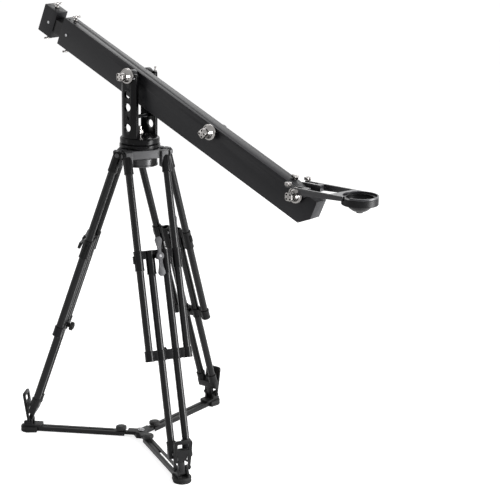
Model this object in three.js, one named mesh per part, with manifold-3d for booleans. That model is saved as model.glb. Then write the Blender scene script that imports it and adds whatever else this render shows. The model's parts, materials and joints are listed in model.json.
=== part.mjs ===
// Camera jib crane: a levelled box-beam arm on a turntable, a twin-tube tripod and a ground spreader.
// Millimetres, +Z up. The origin lies on the floor, on the pan axis. The arm's camera end points to +X.
import * as THREE from 'three';
import { mergeVertices } from 'three/addons/utils/BufferGeometryUtils.js';
import Module from 'manifold-3d';

const wasm = await Module();
wasm.setup();

// Clearances and modelling values
const GAP = 0.35;
const RUNNING = 0.3;
const OVERRUN = 20;
const MERGE = 1e-4;
const FINE_SIDES = 28;
const RING_SIDES = 44;
const ROUND_SIDES = 18;
const ROD_SIDES = 12;

// Foot pads and the pins that carry the legs, from the floor up
const PAD_HEIGHT = 20.3;
const PAD_HALF = 33;
const PAD_TAIL = 32.4;
const PAD_TAIL_SHARE = 0.8;
const FOOT_RADIUS = 430.4;
const FOOT_PIN_RISE = 9.7;
const FOOT_HEIGHT = PAD_HEIGHT + FOOT_PIN_RISE;
const FOOT_BOSS_R = 9;
const FOOT_PIN_R = 5;
const TONGUE_HALF = 11.5;
const TONGUE_DEPTH = 8;

// Ground spreader
const HEX_R = 28;
const HEX_TOP = 24;
const HUB_CAP_R = 13;
const HUB_CAP_RISE = 2;
const WING_REACH = 51;
const WING_HALF = 16.5;
const STUB_REACH = 190;
const STUB_HALF = 12;
const STUB_HEIGHT = 8;
const RAIL_HALF = 16;
const RAIL_LOW = 3;
const RAIL_HEIGHT = 16;
const RAIL_TOP = RAIL_LOW + RAIL_HEIGHT;
const RAIL_WALL = 2.5;
const WING_TO_RAIL = 11;
const RAIL_START = WING_REACH + WING_TO_RAIL;
const LOCK_INSET = 15;
const LOCK_STATION = RAIL_START + LOCK_INSET;
const LOCK_HALF = 21.5;
const LOCK_DEEP = 14;
const LOCK_THICK = 15;
const LOCK_STEM_R = 4;
const END_BLOCK_BACK = 50.4;
const END_BLOCK_LENGTH = 16;
const END_BLOCK_LAP = 6;
const END_BLOCK_START = FOOT_RADIUS - END_BLOCK_BACK;
const END_BLOCK_END = END_BLOCK_START + END_BLOCK_LENGTH;
const RAIL_END = END_BLOCK_START + END_BLOCK_LAP;
const SLOT_HALF = 4;
const SLOT_FROM_LOCK = 27;
const SLOT_TO_BLOCK = 4;
const SLOT_START = LOCK_STATION + SLOT_FROM_LOCK;
const SLOT_END = END_BLOCK_START - SLOT_TO_BLOCK;
const FOOT_PLATE_REACH = 25.6;
const FOOT_PLATE_END = FOOT_RADIUS + FOOT_PLATE_REACH;
const FOOT_PLATE_HALF = 22;
const FOOT_PLATE_THICK = 8;

// Fork round the foot pin and the foot latch outside it
const FORK_CLEAR = 1.5;
const FORK_THICK = 8.5;
const FORK_INNER = TONGUE_HALF + FORK_CLEAR;
const FORK_OUTER = FORK_INNER + FORK_THICK;
const FORK_R = 15;
const FORK_RISE = 30;
const FORK_HEIGHT = FOOT_HEIGHT + FORK_RISE;
const LATCH_BACK = 3.4;
const LATCH_RISE = 17;
const LATCH_RADIUS = FOOT_RADIUS - LATCH_BACK;
const LATCH_HEIGHT = FOOT_HEIGHT + LATCH_RISE;
const LATCH_LEAN_DEG = 8;
const LATCH_CLEAR = 1;
const LATCH_ARM_WIDTH = 10.5;
const LATCH_ARM_INNER = FORK_OUTER + LATCH_CLEAR;
const LATCH_HALF = LATCH_ARM_INNER + LATCH_ARM_WIDTH;
const LATCH_LENGTH = 110;
const LATCH_THICK = 8;
const LATCH_PIN_R = 4;
const LATCH_PIN_CLEAR = 3;
const LATCH_BODY_LOW = 44;
const LATCH_TONGUE_HALF = 13;
const LATCH_TONGUE_DROP = 14;
const LATCH_TONGUE_LOW = LATCH_BODY_LOW - LATCH_TONGUE_DROP;
const WINDOW_HALF = 22;
const WINDOW_RISE = 30;
const WINDOW_HEIGHT = 24;
const WINDOW_LOW = LATCH_BODY_LOW + WINDOW_RISE;
const WINDOW_HIGH = WINDOW_LOW + WINDOW_HEIGHT;
const LOCK_CURVE_STEPS = 8;
const LOBE_STEPS = 6;
const WEB_CURVE_STEPS = 8;

// Leg tubes
const LEG_COUNT = 3;
const LEG_FIRST_DEG = -27.9;
const TUBE_R = 13.2;
const TUBE_WALL = 1.5;
const COLLAR_WALL = 3.8;
const COLLAR_R = TUBE_R + COLLAR_WALL;
const SOCKET_R = TUBE_R + COLLAR_WALL;
const OUTER_OFFSET = 70.8;
const INNER_OFFSET = 27.9;

// Tripod crown and hinge castings
const CROWN_R = 65.5;
const LUG_OVERHANG = 6.5;
const CROWN_LUG_REACH = CROWN_R + LUG_OVERHANG;
const HINGE_RADIUS = 65.6;
const HINGE_HEIGHT = 1095;
const HINGE_PIN_R = 5;
const PIN_HEAD_R = 8;
const PIN_HEAD = 2.5;
const CHEEK_INSET = 17.8;
const CHEEK_INNER = OUTER_OFFSET - CHEEK_INSET;
const CHEEK_SKIN = 0.2;
const CHEEK_OUTER = OUTER_OFFSET + COLLAR_R + CHEEK_SKIN;
const CHEEK_R = 14;
const CHEEK_PLATE_WIDTH = 26;
const CHEEK_PLATE_END = CHEEK_INNER + CHEEK_PLATE_WIDTH;
const CHEEK_PLATE_FACE = 16;
const CHEEK_PLATE_DROP = 46;
const LUG_CLEAR = 0.6;
const CROWN_LUG_HALF = CHEEK_INNER - LUG_CLEAR;
const CROWN_ABOVE_HINGE = 15.9;
const CROWN_BELOW_HINGE = 14;
const CROWN_TOP = HINGE_HEIGHT + CROWN_ABOVE_HINGE;
const CROWN_BOTTOM = HINGE_HEIGHT - CROWN_BELOW_HINGE;
const CASTING_START = 41;
const CASTING_COLLAR = 25;
const CASTING_END = CASTING_START + CASTING_COLLAR;

// Stations along a leg, counted down from its hinge, and the fitting counted up from its foot pin
const SLIDER_START = 337;
const SLIDER_LENGTH = 70;
const SLIDER_END = SLIDER_START + SLIDER_LENGTH;
const SOCKET_BELOW = 15;
const SOCKET_END = SLIDER_END + SOCKET_BELOW;
const WEB_LENGTH = 30;
const WEB_HALF = 6;
const BRACKET_START = 689;
const BRACKET_LENGTH = 37;
const BRACKET_END = BRACKET_START + BRACKET_LENGTH;
const BRACKET_WEB_HALF = 9;
const CLAMP_BOSS_R = 9;
const CLAMP_BOSS_OUT = 26;
const CLAMP_INSET = 9;
const CLAMP_STATION = BRACKET_START + CLAMP_INSET;
const FITTING_HALF = 44;
const FITTING_DEPTH = 13;
const FITTING_REACH = 54.746;
const FITTING_BLOCK_LENGTH = 31;
const FITTING_SOCKET = 30;

// Leg lever and leg knob
const LEVER_INSET = 24;
const LEVER_STATION = SLIDER_START + LEVER_INSET;
const LEVER_BOSS_R = 9;
const LEVER_BOSS_OUT = 22;
const LEVER_THICK = 9;
const LEVER_UP = 68;
const LEVER_DOWN = 71;
const LEVER_END_R = 12.5;
const LEVER_HUB_R = 14;
const LEVER_WAIST = 6;
const LEVER_SCREW_R = 4.5;
const LEVER_SCREW_HEAD = 2.2;
const LEVER_WAIST_SHARE = 0.45;
const STAR_R = 17;
const STAR_THICK = 14;
const STAR_STEM_R = 4.5;
const STAR_LOBES = 5;
const STAR_LOBE_SHARE = 0.22;
const LEG_STAR_SHARE = 0.3;

// Bowl, half ball and bowl clamp
const BOWL_TOP_R = 51;
const BOWL_LOW_R = 43;
const BALL_CLEAR = 3;
const BALL_TOP_R = BOWL_TOP_R - BALL_CLEAR;
const BALL_LOW_R = BOWL_LOW_R - BALL_CLEAR;
const BALL_ABOVE_CROWN_LOW = 4;
const BALL_LOW = CROWN_BOTTOM + BALL_ABOVE_CROWN_LOW;
const CLAMP_INSET_R = 2.5;
const CLAMP_R = CROWN_R - CLAMP_INSET_R;
const CLAMP_NECK_STEP = 5;
const CLAMP_NECK_R = CLAMP_R - CLAMP_NECK_STEP;
const CLAMP_NECK_HEIGHT = 4;
const CLAMP_HEIGHT = 29;
const CLAMP_TOP = CROWN_BOTTOM - CLAMP_NECK_HEIGHT;
const CLAMP_LOW = CLAMP_TOP - CLAMP_HEIGHT;
const CLAMP_FLARE = 1.6;
const CLAMP_WALL = 5;
const CLAMP_DISC = 10;
const CLAMP_BOSS = 16;
const CLAMP_STUD_R = 8;
const CLAMP_STUD_INSET = 4;
const CLAMP_STUD_LOW = CLAMP_LOW + CLAMP_STUD_INSET;

// Turntable and pan knob
const COLUMN_R = 65.4;
const TABLE_LIP = 5.6;
const TABLE_R = COLUMN_R + TABLE_LIP;
const TABLE_NECK_STEP = 7;
const TABLE_NECK_R = TABLE_R - TABLE_NECK_STEP;
const BASE_LIP = 2;
const BASE_R = TABLE_R + BASE_LIP;
const TABLE_BEVEL = 4.5;
const BASE_BEVEL = 3;
const BASE_SEAT = 0.4;
const BASE_THICK = 15.7;
const BASE_BOTTOM = CROWN_TOP + BASE_SEAT;
const BASE_TOP = BASE_BOTTOM + BASE_THICK;
const TABLE_GROOVE = 4.5;
const TABLE_THICK = 23;
const TABLE_GROOVE_TOP = BASE_TOP + TABLE_GROOVE;
const TABLE_TOP = BASE_TOP + TABLE_THICK;
const SPIGOT_R = 20;
const SPIGOT_RISE = 12;
const SPIGOT_TOP = BASE_TOP + SPIGOT_RISE;
const PAN_KNOB_R = 14.5;
const PAN_KNOB_RISE = 8;
const PAN_KNOB_HEIGHT = 30;
const PAN_KNOB_LOW = TABLE_TOP + PAN_KNOB_RISE;
const PAN_KNOB_HIGH = PAN_KNOB_LOW + PAN_KNOB_HEIGHT;
const PAN_STEM_R = 6;
const PAN_LOBES = 6;
const PAN_LOBE_SHARE = 0.14;

// Column
const PIVOT_RISE = 222;
const PIVOT_HEIGHT = TABLE_TOP + PIVOT_RISE;
const COLUMN_WALL = 10;
const UPRIGHT_HALF = 35;
const UPRIGHT_COVER = 8;
const UPRIGHT_TOP = PIVOT_HEIGHT + UPRIGHT_COVER;
const UPRIGHT_CORNER = 9;
const LIGHTENING_R = 14.5;
const LIGHTENING_LOW_RISE = 38.5;
const LIGHTENING_MID_DROP = 111;
const LIGHTENING_TOP_DROP = 65;
const LIGHTENING_HEIGHTS = [
  TABLE_TOP + LIGHTENING_LOW_RISE,
  PIVOT_HEIGHT - LIGHTENING_MID_DROP,
  PIVOT_HEIGHT - LIGHTENING_TOP_DROP,
];
const ROD_RISE = 72;
const ROD_HEIGHT = TABLE_TOP + ROD_RISE;
const ROD_R = 7;
const ROD_STUD_R = 4;
const ROD_HEAD_R = 6.5;
const ROD_HEAD = 3;

// Arm pose and beam, with stations counted from the fulcrum
const TILT_DEG = 23.6;
const BEAM_HEIGHT = 105;
const BEAM_WIDTH = 52;
const BEAM_WALL = 3;
const PIVOT_BELOW_TOP = 19;
const BEAM_REAR = 383;
const MID_STATION = 388;
const FRONT_STATION = 788;
const NOSE_REACH = 79;
const BEAM_FRONT = FRONT_STATION + NOSE_REACH;
const CHAMFER = 38;
const CAP_THICK = 3;

// Levelling bar and its cranks
const LINK_DROP = 50;
const LINK_BAR_HEIGHT = 20;
const LINK_BAR_WIDTH = 9;
const CRANK_THICK = 8;
const CRANK_RADIUS = 13;
const LINK_PIN_R = 4;
const BLADE_HUB_R = 15.5;

// Axles and hubs
const AXLE_R = 12;
const SMALL_AXLE_R = 8;
const BUSH_R = 20;
const HUB_R = 27.5;
const HUB_FLANGE = 7;
const HUB_CONE = 17;
const HUB_NECK_R = 17;
const HUB_SHOULDER_R = 21.5;
const HUB_EDGE = 1.4;
const HUB_LOBE_SHARE = 0.12;
const KNOB_R = 16.5;
const KNOB_LENGTH = 18;
const KNOB_HOLE_R = 2.8;
const KNOB_HOLE_DEPTH = 3;
const KNOB_STEM_DEPTH = 10;
const FRONT_STEM_DEPTH = 6.4;
const KNOB_BORE_DEPTH = 14;
const SPACER = 10.9;
const SPACER_R = 16;
const SPOT_DEPTH = 5.1;
const SPOT_CLEAR = 1.5;
const NUT_R = 14.4;
const NUT_THICK = 6.6;
const NUT_SIDES = 6;

// Camera platform, with lengths counted from its axle
const PLATE_RISE = 29.475;
const RAIL_DEPTH = 22;
const RAIL_FRONT_DEPTH = 15;
const PLATFORM_HALF = 57;
const PLATFORM_RAIL = 7;
const PLATFORM_BACK = 26.094;
const BRIDGE_AHEAD = 33.906;
const BRIDGE_LENGTH = 20;
const WEB_AHEAD = 145.906;
const WEB_SLANT = 23;
const RAIL_AHEAD = 199.906;
const BOWL_AHEAD = 228.906;
const EAR_THICK = 6.6;
const EAR_R = 22;
const RAIL_NOTCH_R = 25;
const FRONT_WEB = 6;

// Camera bowl
const BOWL_R = 60;
const BOWL_RIM = 10;
const BOWL_BORE_R = BOWL_R - BOWL_RIM;
const BOWL_RING = 24;
const BOWL_DEPTH = 60;
const BOWL_HOLE_R = 14;
const BOWL_WALL = 4;

// Star knobs on the platform and the beam
const TOP_KNOB_R = 13;
const TOP_KNOB_THICK = 10;
const TOP_KNOB_STEM_R = 2.2;
const TOP_KNOB_COLLAR_R = 6;
const TOP_KNOB_RISE = 3;
const REAR_KNOB_SETBACK = 10;
const BEAM_KNOB_BACK = 55;
const BEAM_KNOB_STATION = FRONT_STATION - BEAM_KNOB_BACK;
const BEAM_KNOB_SIDE = 14;

// Rear block
const BLOCK_GAP = 39;
const BLOCK_LENGTH = 68;
const BLOCK_FRONT = BEAM_REAR + BLOCK_GAP;
const BLOCK_REAR = BLOCK_FRONT + BLOCK_LENGTH;
const BLOCK_CAP = 5;
const INSERT_HEIGHT = 50;
const INSERT_HOLD = 133;
const INSERT_FRONT = BEAM_REAR - INSERT_HOLD;
const INSERT_CLEAR = 0.3;

// T-handled screws
const T_STEM_R = 3.5;
const T_BAR_R = 4;
const T_BAR_HALF = 19;
const T_RISE = 18;
const BLOCK_T_INSET = 33;
const BLOCK_T_STATION = BLOCK_FRONT + BLOCK_T_INSET;
const BEAM_T_INSET = 31;
const BEAM_T_STATION = BEAM_REAR - BEAM_T_INSET;
const TILT_T_RISE = 19;
const TILT_T_COLLAR = 10;
const T_COLLAR_R = 9;
const T_SCREW_COLLAR_R = 7;
const T_SCREW_COLLAR = 6;

const MATERIALS = {
  beam: new THREE.MeshStandardMaterial({ color: 0x232326, roughness: 0.45, metalness: 0.3 }),
  anodised: new THREE.MeshStandardMaterial({ color: 0x1c1c1f, roughness: 0.35, metalness: 0.6 }),
  silver: new THREE.MeshStandardMaterial({ color: 0xc8c4bf, roughness: 0.25, metalness: 1.0 }),
  steel: new THREE.MeshStandardMaterial({ color: 0x8c8c90, roughness: 0.35, metalness: 1.0 }),
  casting: new THREE.MeshStandardMaterial({ color: 0x38383c, roughness: 0.55, metalness: 0.2 }),
  lever: new THREE.MeshStandardMaterial({ color: 0x6f6f73, roughness: 0.5, metalness: 0.2 }),
  plastic: new THREE.MeshStandardMaterial({ color: 0x202022, roughness: 0.6, metalness: 0.0 }),
  rubber: new THREE.MeshStandardMaterial({ color: 0x1a1a1b, roughness: 0.85, metalness: 0.0 }),
};

// Solids: a closed three.js mesh becomes a solid that can be joined and cut

function signedVolume(positions, triangles) {
  const a = new THREE.Vector3();
  const b = new THREE.Vector3();
  const c = new THREE.Vector3();
  let volume = 0;
  for (let i = 0; i < triangles.length; i += 3) {
    a.fromArray(positions, triangles[i] * 3);
    b.fromArray(positions, triangles[i + 1] * 3);
    c.fromArray(positions, triangles[i + 2] * 3);
    volume += a.dot(b.cross(c)) / 6;
  }
  return volume;
}

function solid(geometry) {
  const bare = geometry.clone();
  bare.deleteAttribute('normal');
  bare.deleteAttribute('uv');
  const merged = mergeVertices(bare, MERGE);
  const positions = new Float32Array(merged.attributes.position.array);
  const triangles = [];
  const index = merged.index.array;
  for (let i = 0; i < index.length; i += 3) {
    const [p, q, r] = [index[i], index[i + 1], index[i + 2]];
    if (p !== q && q !== r && r !== p) triangles.push(p, q, r);
  }
  if (signedVolume(positions, triangles) < 0) {
    for (let i = 0; i < triangles.length; i += 3) {
      [triangles[i + 1], triangles[i + 2]] = [triangles[i + 2], triangles[i + 1]];
    }
  }
  return new wasm.Manifold(new wasm.Mesh({
    numProp: 3,
    vertProperties: positions,
    triVerts: new Uint32Array(triangles),
  }));
}

function geometryOf(manifold) {
  const mesh = manifold.getMesh();
  const geometry = new THREE.BufferGeometry();
  geometry.setAttribute('position', new THREE.BufferAttribute(mesh.vertProperties, 3));
  geometry.setIndex(new THREE.BufferAttribute(mesh.triVerts, 1));
  geometry.computeVertexNormals();
  return geometry;
}

function union(...pieces) {
  return pieces.reduce((whole, piece) => whole.add(piece));
}

function cut(body, ...tools) {
  return tools.reduce((whole, tool) => whole.subtract(tool), body);
}

function block([x0, x1], [y0, y1], [z0, z1]) {
  const geometry = new THREE.BoxGeometry(x1 - x0, y1 - y0, z1 - z0);
  geometry.translate((x0 + x1) / 2, (y0 + y1) / 2, (z0 + z1) / 2);
  return solid(geometry);
}

// A rod, or a cone where two radii are given, along one axis from low to high, centred on the other two.
function rod(axis, radii, [low, high], centre, sides = ROUND_SIDES) {
  const [rLow, rHigh] = Array.isArray(radii) ? radii : [radii, radii];
  const geometry = new THREE.CylinderGeometry(rHigh, rLow, high - low, sides);
  geometry.translate(0, (low + high) / 2, 0);
  if (axis === 'x') {
    geometry.rotateZ(-Math.PI / 2);
    geometry.translate(0, centre[0], centre[1]);
  } else if (axis === 'y') {
    geometry.translate(centre[0], 0, centre[1]);
  } else {
    geometry.rotateX(Math.PI / 2);
    geometry.translate(centre[0], centre[1], 0);
  }
  return solid(geometry);
}

// A profile of [radius, height] points turned round the Z axis.
function turned(profile, sides = FINE_SIDES) {
  const points = profile.map(([r, z]) => new THREE.Vector2(r, z));
  points.push(points[0].clone());
  const geometry = new THREE.LatheGeometry(points, sides);
  geometry.rotateX(Math.PI / 2);
  return solid(geometry);
}

function extruded(shape, depth, curveSegments = 4) {
  return new THREE.ExtrudeGeometry(shape, { depth, bevelEnabled: false, curveSegments });
}

// An outline in X and Z pushed along Y from low to high.
function sidePlate(shape, [low, high], curveSegments) {
  const geometry = extruded(shape, high - low, curveSegments);
  geometry.rotateX(Math.PI / 2);
  geometry.translate(0, high, 0);
  return solid(geometry);
}

// An outline in X and Y pushed along Z from low to high.
function flatPlate(shape, [low, high], curveSegments) {
  const geometry = extruded(shape, high - low, curveSegments);
  geometry.translate(0, 0, low);
  return solid(geometry);
}

function polygon(points) {
  return new THREE.Shape(points.map(([x, y]) => new THREE.Vector2(x, y)));
}

function roundedRect(x0, x1, y0, y1, radius) {
  const shape = new THREE.Shape();
  shape.moveTo(x0 + radius, y0);
  shape.lineTo(x1 - radius, y0);
  shape.absarc(x1 - radius, y0 + radius, radius, -Math.PI / 2, 0, false);
  shape.absarc(x1 - radius, y1 - radius, radius, 0, Math.PI / 2, false);
  shape.absarc(x0 + radius, y1 - radius, radius, Math.PI / 2, Math.PI, false);
  shape.absarc(x0 + radius, y0 + radius, radius, Math.PI, Math.PI * 1.5, false);
  return shape;
}

// A knob's lobed outline round its own centre.
function lobedOutline(radius, lobes, depthShare) {
  const shape = new THREE.Shape();
  const steps = lobes * LOBE_STEPS;
  for (let i = 0; i < steps; i += 1) {
    const angle = (i / steps) * Math.PI * 2;
    const reach = radius * (1 - depthShare * (0.5 - 0.5 * Math.cos(lobes * angle)));
    const [x, y] = [reach * Math.cos(angle), reach * Math.sin(angle)];
    if (i === 0) shape.moveTo(x, y);
    else shape.lineTo(x, y);
  }
  return shape;
}

// The stretch between two distances on one side of a middle plane, low value first.
function span(side, near, far) {
  return side < 0 ? [-far, -near] : [near, far];
}

function place(parent, name, piece, material) {
  const mesh = new THREE.Mesh(geometryOf(piece), material);
  mesh.name = name;
  parent.add(mesh);
  return mesh;
}

function radians(degrees) {
  return (degrees * Math.PI) / 180;
}

const crane = new THREE.Group();

// Arm frame: x runs along the beam to the camera end, z stands square to it, the origin is the fulcrum.
const arm = new THREE.Group();
arm.position.z = PIVOT_HEIGHT;
arm.rotation.y = radians(TILT_DEG);
crane.add(arm);

const BEAM_TOP = PIVOT_BELOW_TOP;
const BEAM_BOTTOM = PIVOT_BELOW_TOP - BEAM_HEIGHT;
const BEAM_HALF = BEAM_WIDTH / 2;
const BEAM_MIDDLE = (BEAM_TOP + BEAM_BOTTOM) / 2;
const tilt = radians(TILT_DEG);

// A point given in the arm frame, in the crane's own frame.
function armPoint(along, up) {
  return [
    along * Math.cos(tilt) + up * Math.sin(tilt),
    PIVOT_HEIGHT - along * Math.sin(tilt) + up * Math.cos(tilt),
  ];
}

// The crank's hanging direction at rest, in the arm frame.
const crankAlong = LINK_DROP * Math.sin(tilt);
const crankUp = -LINK_DROP * Math.cos(tilt);

function beam() {
  const inset = CAP_THICK + GAP;
  const slant = inset * Math.SQRT2;
  const outline = polygon([
    [-BEAM_REAR, BEAM_TOP],
    [-BEAM_REAR, BEAM_BOTTOM],
    [BEAM_FRONT - CHAMFER - slant, BEAM_BOTTOM],
    [BEAM_FRONT - inset, BEAM_BOTTOM + CHAMFER + slant - inset],
    [BEAM_FRONT - inset, BEAM_TOP],
  ]);
  const side = BEAM_HALF - BEAM_WALL;
  const through = [-BEAM_HALF - OVERRUN, BEAM_HALF + OVERRUN];
  return cut(
    sidePlate(outline, [-BEAM_HALF, BEAM_HALF]),
    block(
      [-BEAM_REAR - OVERRUN, BEAM_FRONT + OVERRUN],
      [-side, side],
      [BEAM_BOTTOM + BEAM_WALL, BEAM_TOP - BEAM_WALL],
    ),
    rod('y', AXLE_R + RUNNING, through, [0, 0]),
    rod('y', SMALL_AXLE_R + RUNNING, through, [MID_STATION, 0]),
    rod('y', SMALL_AXLE_R + RUNNING, through, [FRONT_STATION, 0]),
    rod('z', T_STEM_R + RUNNING, [BEAM_TOP - BEAM_WALL - OVERRUN, BEAM_TOP + OVERRUN],
      [-BEAM_T_STATION, 0], ROD_SIDES),
    rod('z', T_STEM_R + RUNNING, [BEAM_BOTTOM - OVERRUN, BEAM_BOTTOM + OVERRUN],
      [-BEAM_T_STATION, 0], ROD_SIDES),
    rod('z', TOP_KNOB_STEM_R + RUNNING, [BEAM_TOP - OVERRUN, BEAM_TOP + OVERRUN],
      [BEAM_KNOB_STATION, BEAM_KNOB_SIDE], ROD_SIDES),
  );
}

function beamCap() {
  const slant = CAP_THICK * Math.SQRT2;
  return sidePlate(polygon([
    [BEAM_FRONT - CAP_THICK, BEAM_TOP],
    [BEAM_FRONT - CAP_THICK, BEAM_BOTTOM + CHAMFER + slant - CAP_THICK],
    [BEAM_FRONT - CHAMFER - slant, BEAM_BOTTOM],
    [BEAM_FRONT - CHAMFER, BEAM_BOTTOM],
    [BEAM_FRONT, BEAM_BOTTOM + CHAMFER],
    [BEAM_FRONT, BEAM_TOP],
  ]), [-BEAM_HALF, BEAM_HALF]);
}

const BAR_SIDE = LINK_BAR_WIDTH / 2;
const CRANK_SIDE = [-BAR_SIDE - GAP - CRANK_THICK, -BAR_SIDE - GAP];

// The levelling bar hangs a crank's drop from the beam's own pivots and stays parallel to them.
function levelBar() {
  const shape = new THREE.Shape();
  const r = LINK_BAR_HEIGHT / 2;
  const [rear, front] = [crankAlong, FRONT_STATION + crankAlong];
  shape.moveTo(rear, crankUp - r);
  shape.lineTo(front, crankUp - r);
  shape.absarc(front, crankUp, r, -Math.PI / 2, Math.PI / 2, false);
  shape.absarc(rear, crankUp, r, Math.PI / 2, Math.PI * 1.5, false);
  const through = [-BAR_SIDE - OVERRUN, BAR_SIDE + OVERRUN];
  return cut(
    sidePlate(shape, [-BAR_SIDE, BAR_SIDE]),
    rod('y', LINK_PIN_R + RUNNING, through, [rear, crankUp], ROD_SIDES),
    rod('y', LINK_PIN_R + RUNNING, through, [front, crankUp], ROD_SIDES),
  );
}

// A crank plate that hangs straight down from (x, z), with its pin across the bar.
function crankPlate(x, z, hubRadius, sides = CRANK_SIDE) {
  const low = z - LINK_DROP;
  const plate = polygon([
    [x - hubRadius, z],
    [x - CRANK_RADIUS, low],
    [x + CRANK_RADIUS, low],
    [x + hubRadius, z],
  ]);
  return union(
    sidePlate(plate, sides),
    rod('y', hubRadius, sides, [x, z]),
    rod('y', CRANK_RADIUS, sides, [x, low]),
    rod('y', LINK_PIN_R, [sides[0], BAR_SIDE], [x, low], ROD_SIDES),
  );
}

function levelBlade() {
  const hub = BLADE_HUB_R;
  return cut(
    crankPlate(0, PIVOT_HEIGHT, hub),
    rod('y', AXLE_R + GAP, [-BEAM_HALF, BEAM_HALF], [0, PIVOT_HEIGHT]),
  );
}

// Hub: a flange and a cone on the beam's or the column's side, facing -Y from its base.
function hub(x, z, base, bore) {
  const low = base - HUB_FLANGE;
  const edge = HUB_R - HUB_EDGE;
  const body = union(
    rod('y', [edge, HUB_R], [low, base - HUB_FLANGE / 2], [x, z], FINE_SIDES),
    rod('y', HUB_R, [base - HUB_FLANGE / 2, base], [x, z], FINE_SIDES),
    rod('y', [HUB_NECK_R, HUB_SHOULDER_R], [low - HUB_CONE, low], [x, z], FINE_SIDES),
  );
  return cut(body, rod('y', bore + GAP, [low - HUB_CONE - OVERRUN, base + OVERRUN], [x, z]));
}

const KNOB_HOLES = 4;

// Hub knob: lobed, with four blind holes in its face.
function hubKnob(x, z, base, stemR, stemEnd) {
  const face = base - KNOB_LENGTH;
  const outline = extruded(lobedOutline(KNOB_R, KNOB_HOLES, HUB_LOBE_SHARE), KNOB_LENGTH);
  outline.rotateX(Math.PI / 2);
  outline.translate(x, base, z);
  let knob = union(solid(outline), rod('y', stemR, [base, stemEnd], [x, z], ROD_SIDES));
  for (let i = 0; i < KNOB_HOLES; i += 1) {
    const angle = (i * 2 + 1) * (Math.PI / KNOB_HOLES);
    const reach = KNOB_R / 2;
    const [hx, hz] = [x + reach * Math.cos(angle), z + reach * Math.sin(angle)];
    knob = cut(knob, rod('y', KNOB_HOLE_R, [face - OVERRUN, face + KNOB_HOLE_DEPTH], [hx, hz], ROD_SIDES));
  }
  return knob;
}

const HUB_LENGTH = HUB_FLANGE + HUB_CONE;
const KNOB_STEM_R = 5;

// Fulcrum
const SPOT_FACE = COLUMN_R - SPOT_DEPTH;

function fulcrumAxle() {
  const near = SPOT_FACE + GAP;
  const far = COLUMN_R + GAP;
  return cut(
    rod('y', AXLE_R, [-near, far], [0, PIVOT_HEIGHT], FINE_SIDES),
    rod('y', KNOB_STEM_R + RUNNING, [-near - OVERRUN, -near + OVERRUN], [0, PIVOT_HEIGHT], ROD_SIDES),
    rod('y', KNOB_STEM_R + RUNNING, [far - OVERRUN, far + OVERRUN], [0, PIVOT_HEIGHT], ROD_SIDES),
  );
}

function fulcrumBush(side) {
  const inner = COLUMN_R - COLUMN_WALL;
  const outerFace = Math.sqrt(inner * inner - BUSH_R * BUSH_R) - GAP;
  const low = BEAM_HALF + GAP;
  const range = side < 0 ? [-outerFace, -low] : [low, outerFace];
  return cut(
    rod('y', BUSH_R, range, [0, PIVOT_HEIGHT]),
    rod('y', AXLE_R + GAP, [-COLUMN_R, COLUMN_R], [0, PIVOT_HEIGHT]),
  );
}

function tHandleAcross() {
  const start = COLUMN_R - KNOB_BORE_DEPTH;
  const barAt = COLUMN_R + TILT_T_RISE;
  return union(
    rod('y', KNOB_STEM_R, [start, barAt], [0, PIVOT_HEIGHT], ROD_SIDES),
    rod('y', T_COLLAR_R, [COLUMN_R + GAP + GAP, COLUMN_R + TILT_T_COLLAR], [0, PIVOT_HEIGHT], ROD_SIDES),
    rod('z', T_BAR_R, [PIVOT_HEIGHT - T_BAR_HALF, PIVOT_HEIGHT + T_BAR_HALF], [0, barAt], ROD_SIDES),
  );
}

// Column
function upright(side) {
  const ring = turned([
    [COLUMN_R - COLUMN_WALL, TABLE_TOP + GAP],
    [COLUMN_R, TABLE_TOP + GAP],
    [COLUMN_R, UPRIGHT_TOP],
    [COLUMN_R - COLUMN_WALL, UPRIGHT_TOP],
  ], RING_SIDES);
  const face = roundedRect(
    -UPRIGHT_HALF, UPRIGHT_HALF, TABLE_TOP - OVERRUN, UPRIGHT_TOP, UPRIGHT_CORNER,
  );
  const reach = side < 0 ? [-COLUMN_R - OVERRUN, 0] : [0, COLUMN_R + OVERRUN];
  const panel = sidePlate(face, reach);
  const tools = LIGHTENING_HEIGHTS.map((z) => rod('y', LIGHTENING_R, reach, [0, z]));
  tools.push(rod('y', AXLE_R + GAP, reach, [0, PIVOT_HEIGHT]));
  const spot = [reach[0], -SPOT_FACE];
  if (side < 0) tools.push(rod('y', HUB_R + SPOT_CLEAR, spot, [0, PIVOT_HEIGHT], FINE_SIDES));
  tools.push(rod('y', ROD_STUD_R + GAP, reach, [0, ROD_HEIGHT], ROD_SIDES));
  return cut(ring.intersect(panel), ...tools);
}

function crossRod() {
  const inner = COLUMN_R - COLUMN_WALL;
  const shoulder = Math.sqrt(inner * inner - ROD_R * ROD_R) - GAP;
  const outer = COLUMN_R + GAP;
  return union(
    rod('y', ROD_R, [-shoulder, shoulder], [0, ROD_HEIGHT], ROD_SIDES),
    rod('y', ROD_STUD_R, [-outer, outer], [0, ROD_HEIGHT], ROD_SIDES),
    rod('y', ROD_HEAD_R, [-outer - ROD_HEAD, -outer], [0, ROD_HEIGHT], ROD_SIDES),
    rod('y', ROD_HEAD_R, [outer, outer + ROD_HEAD], [0, ROD_HEIGHT], ROD_SIDES),
  );
}

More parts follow.
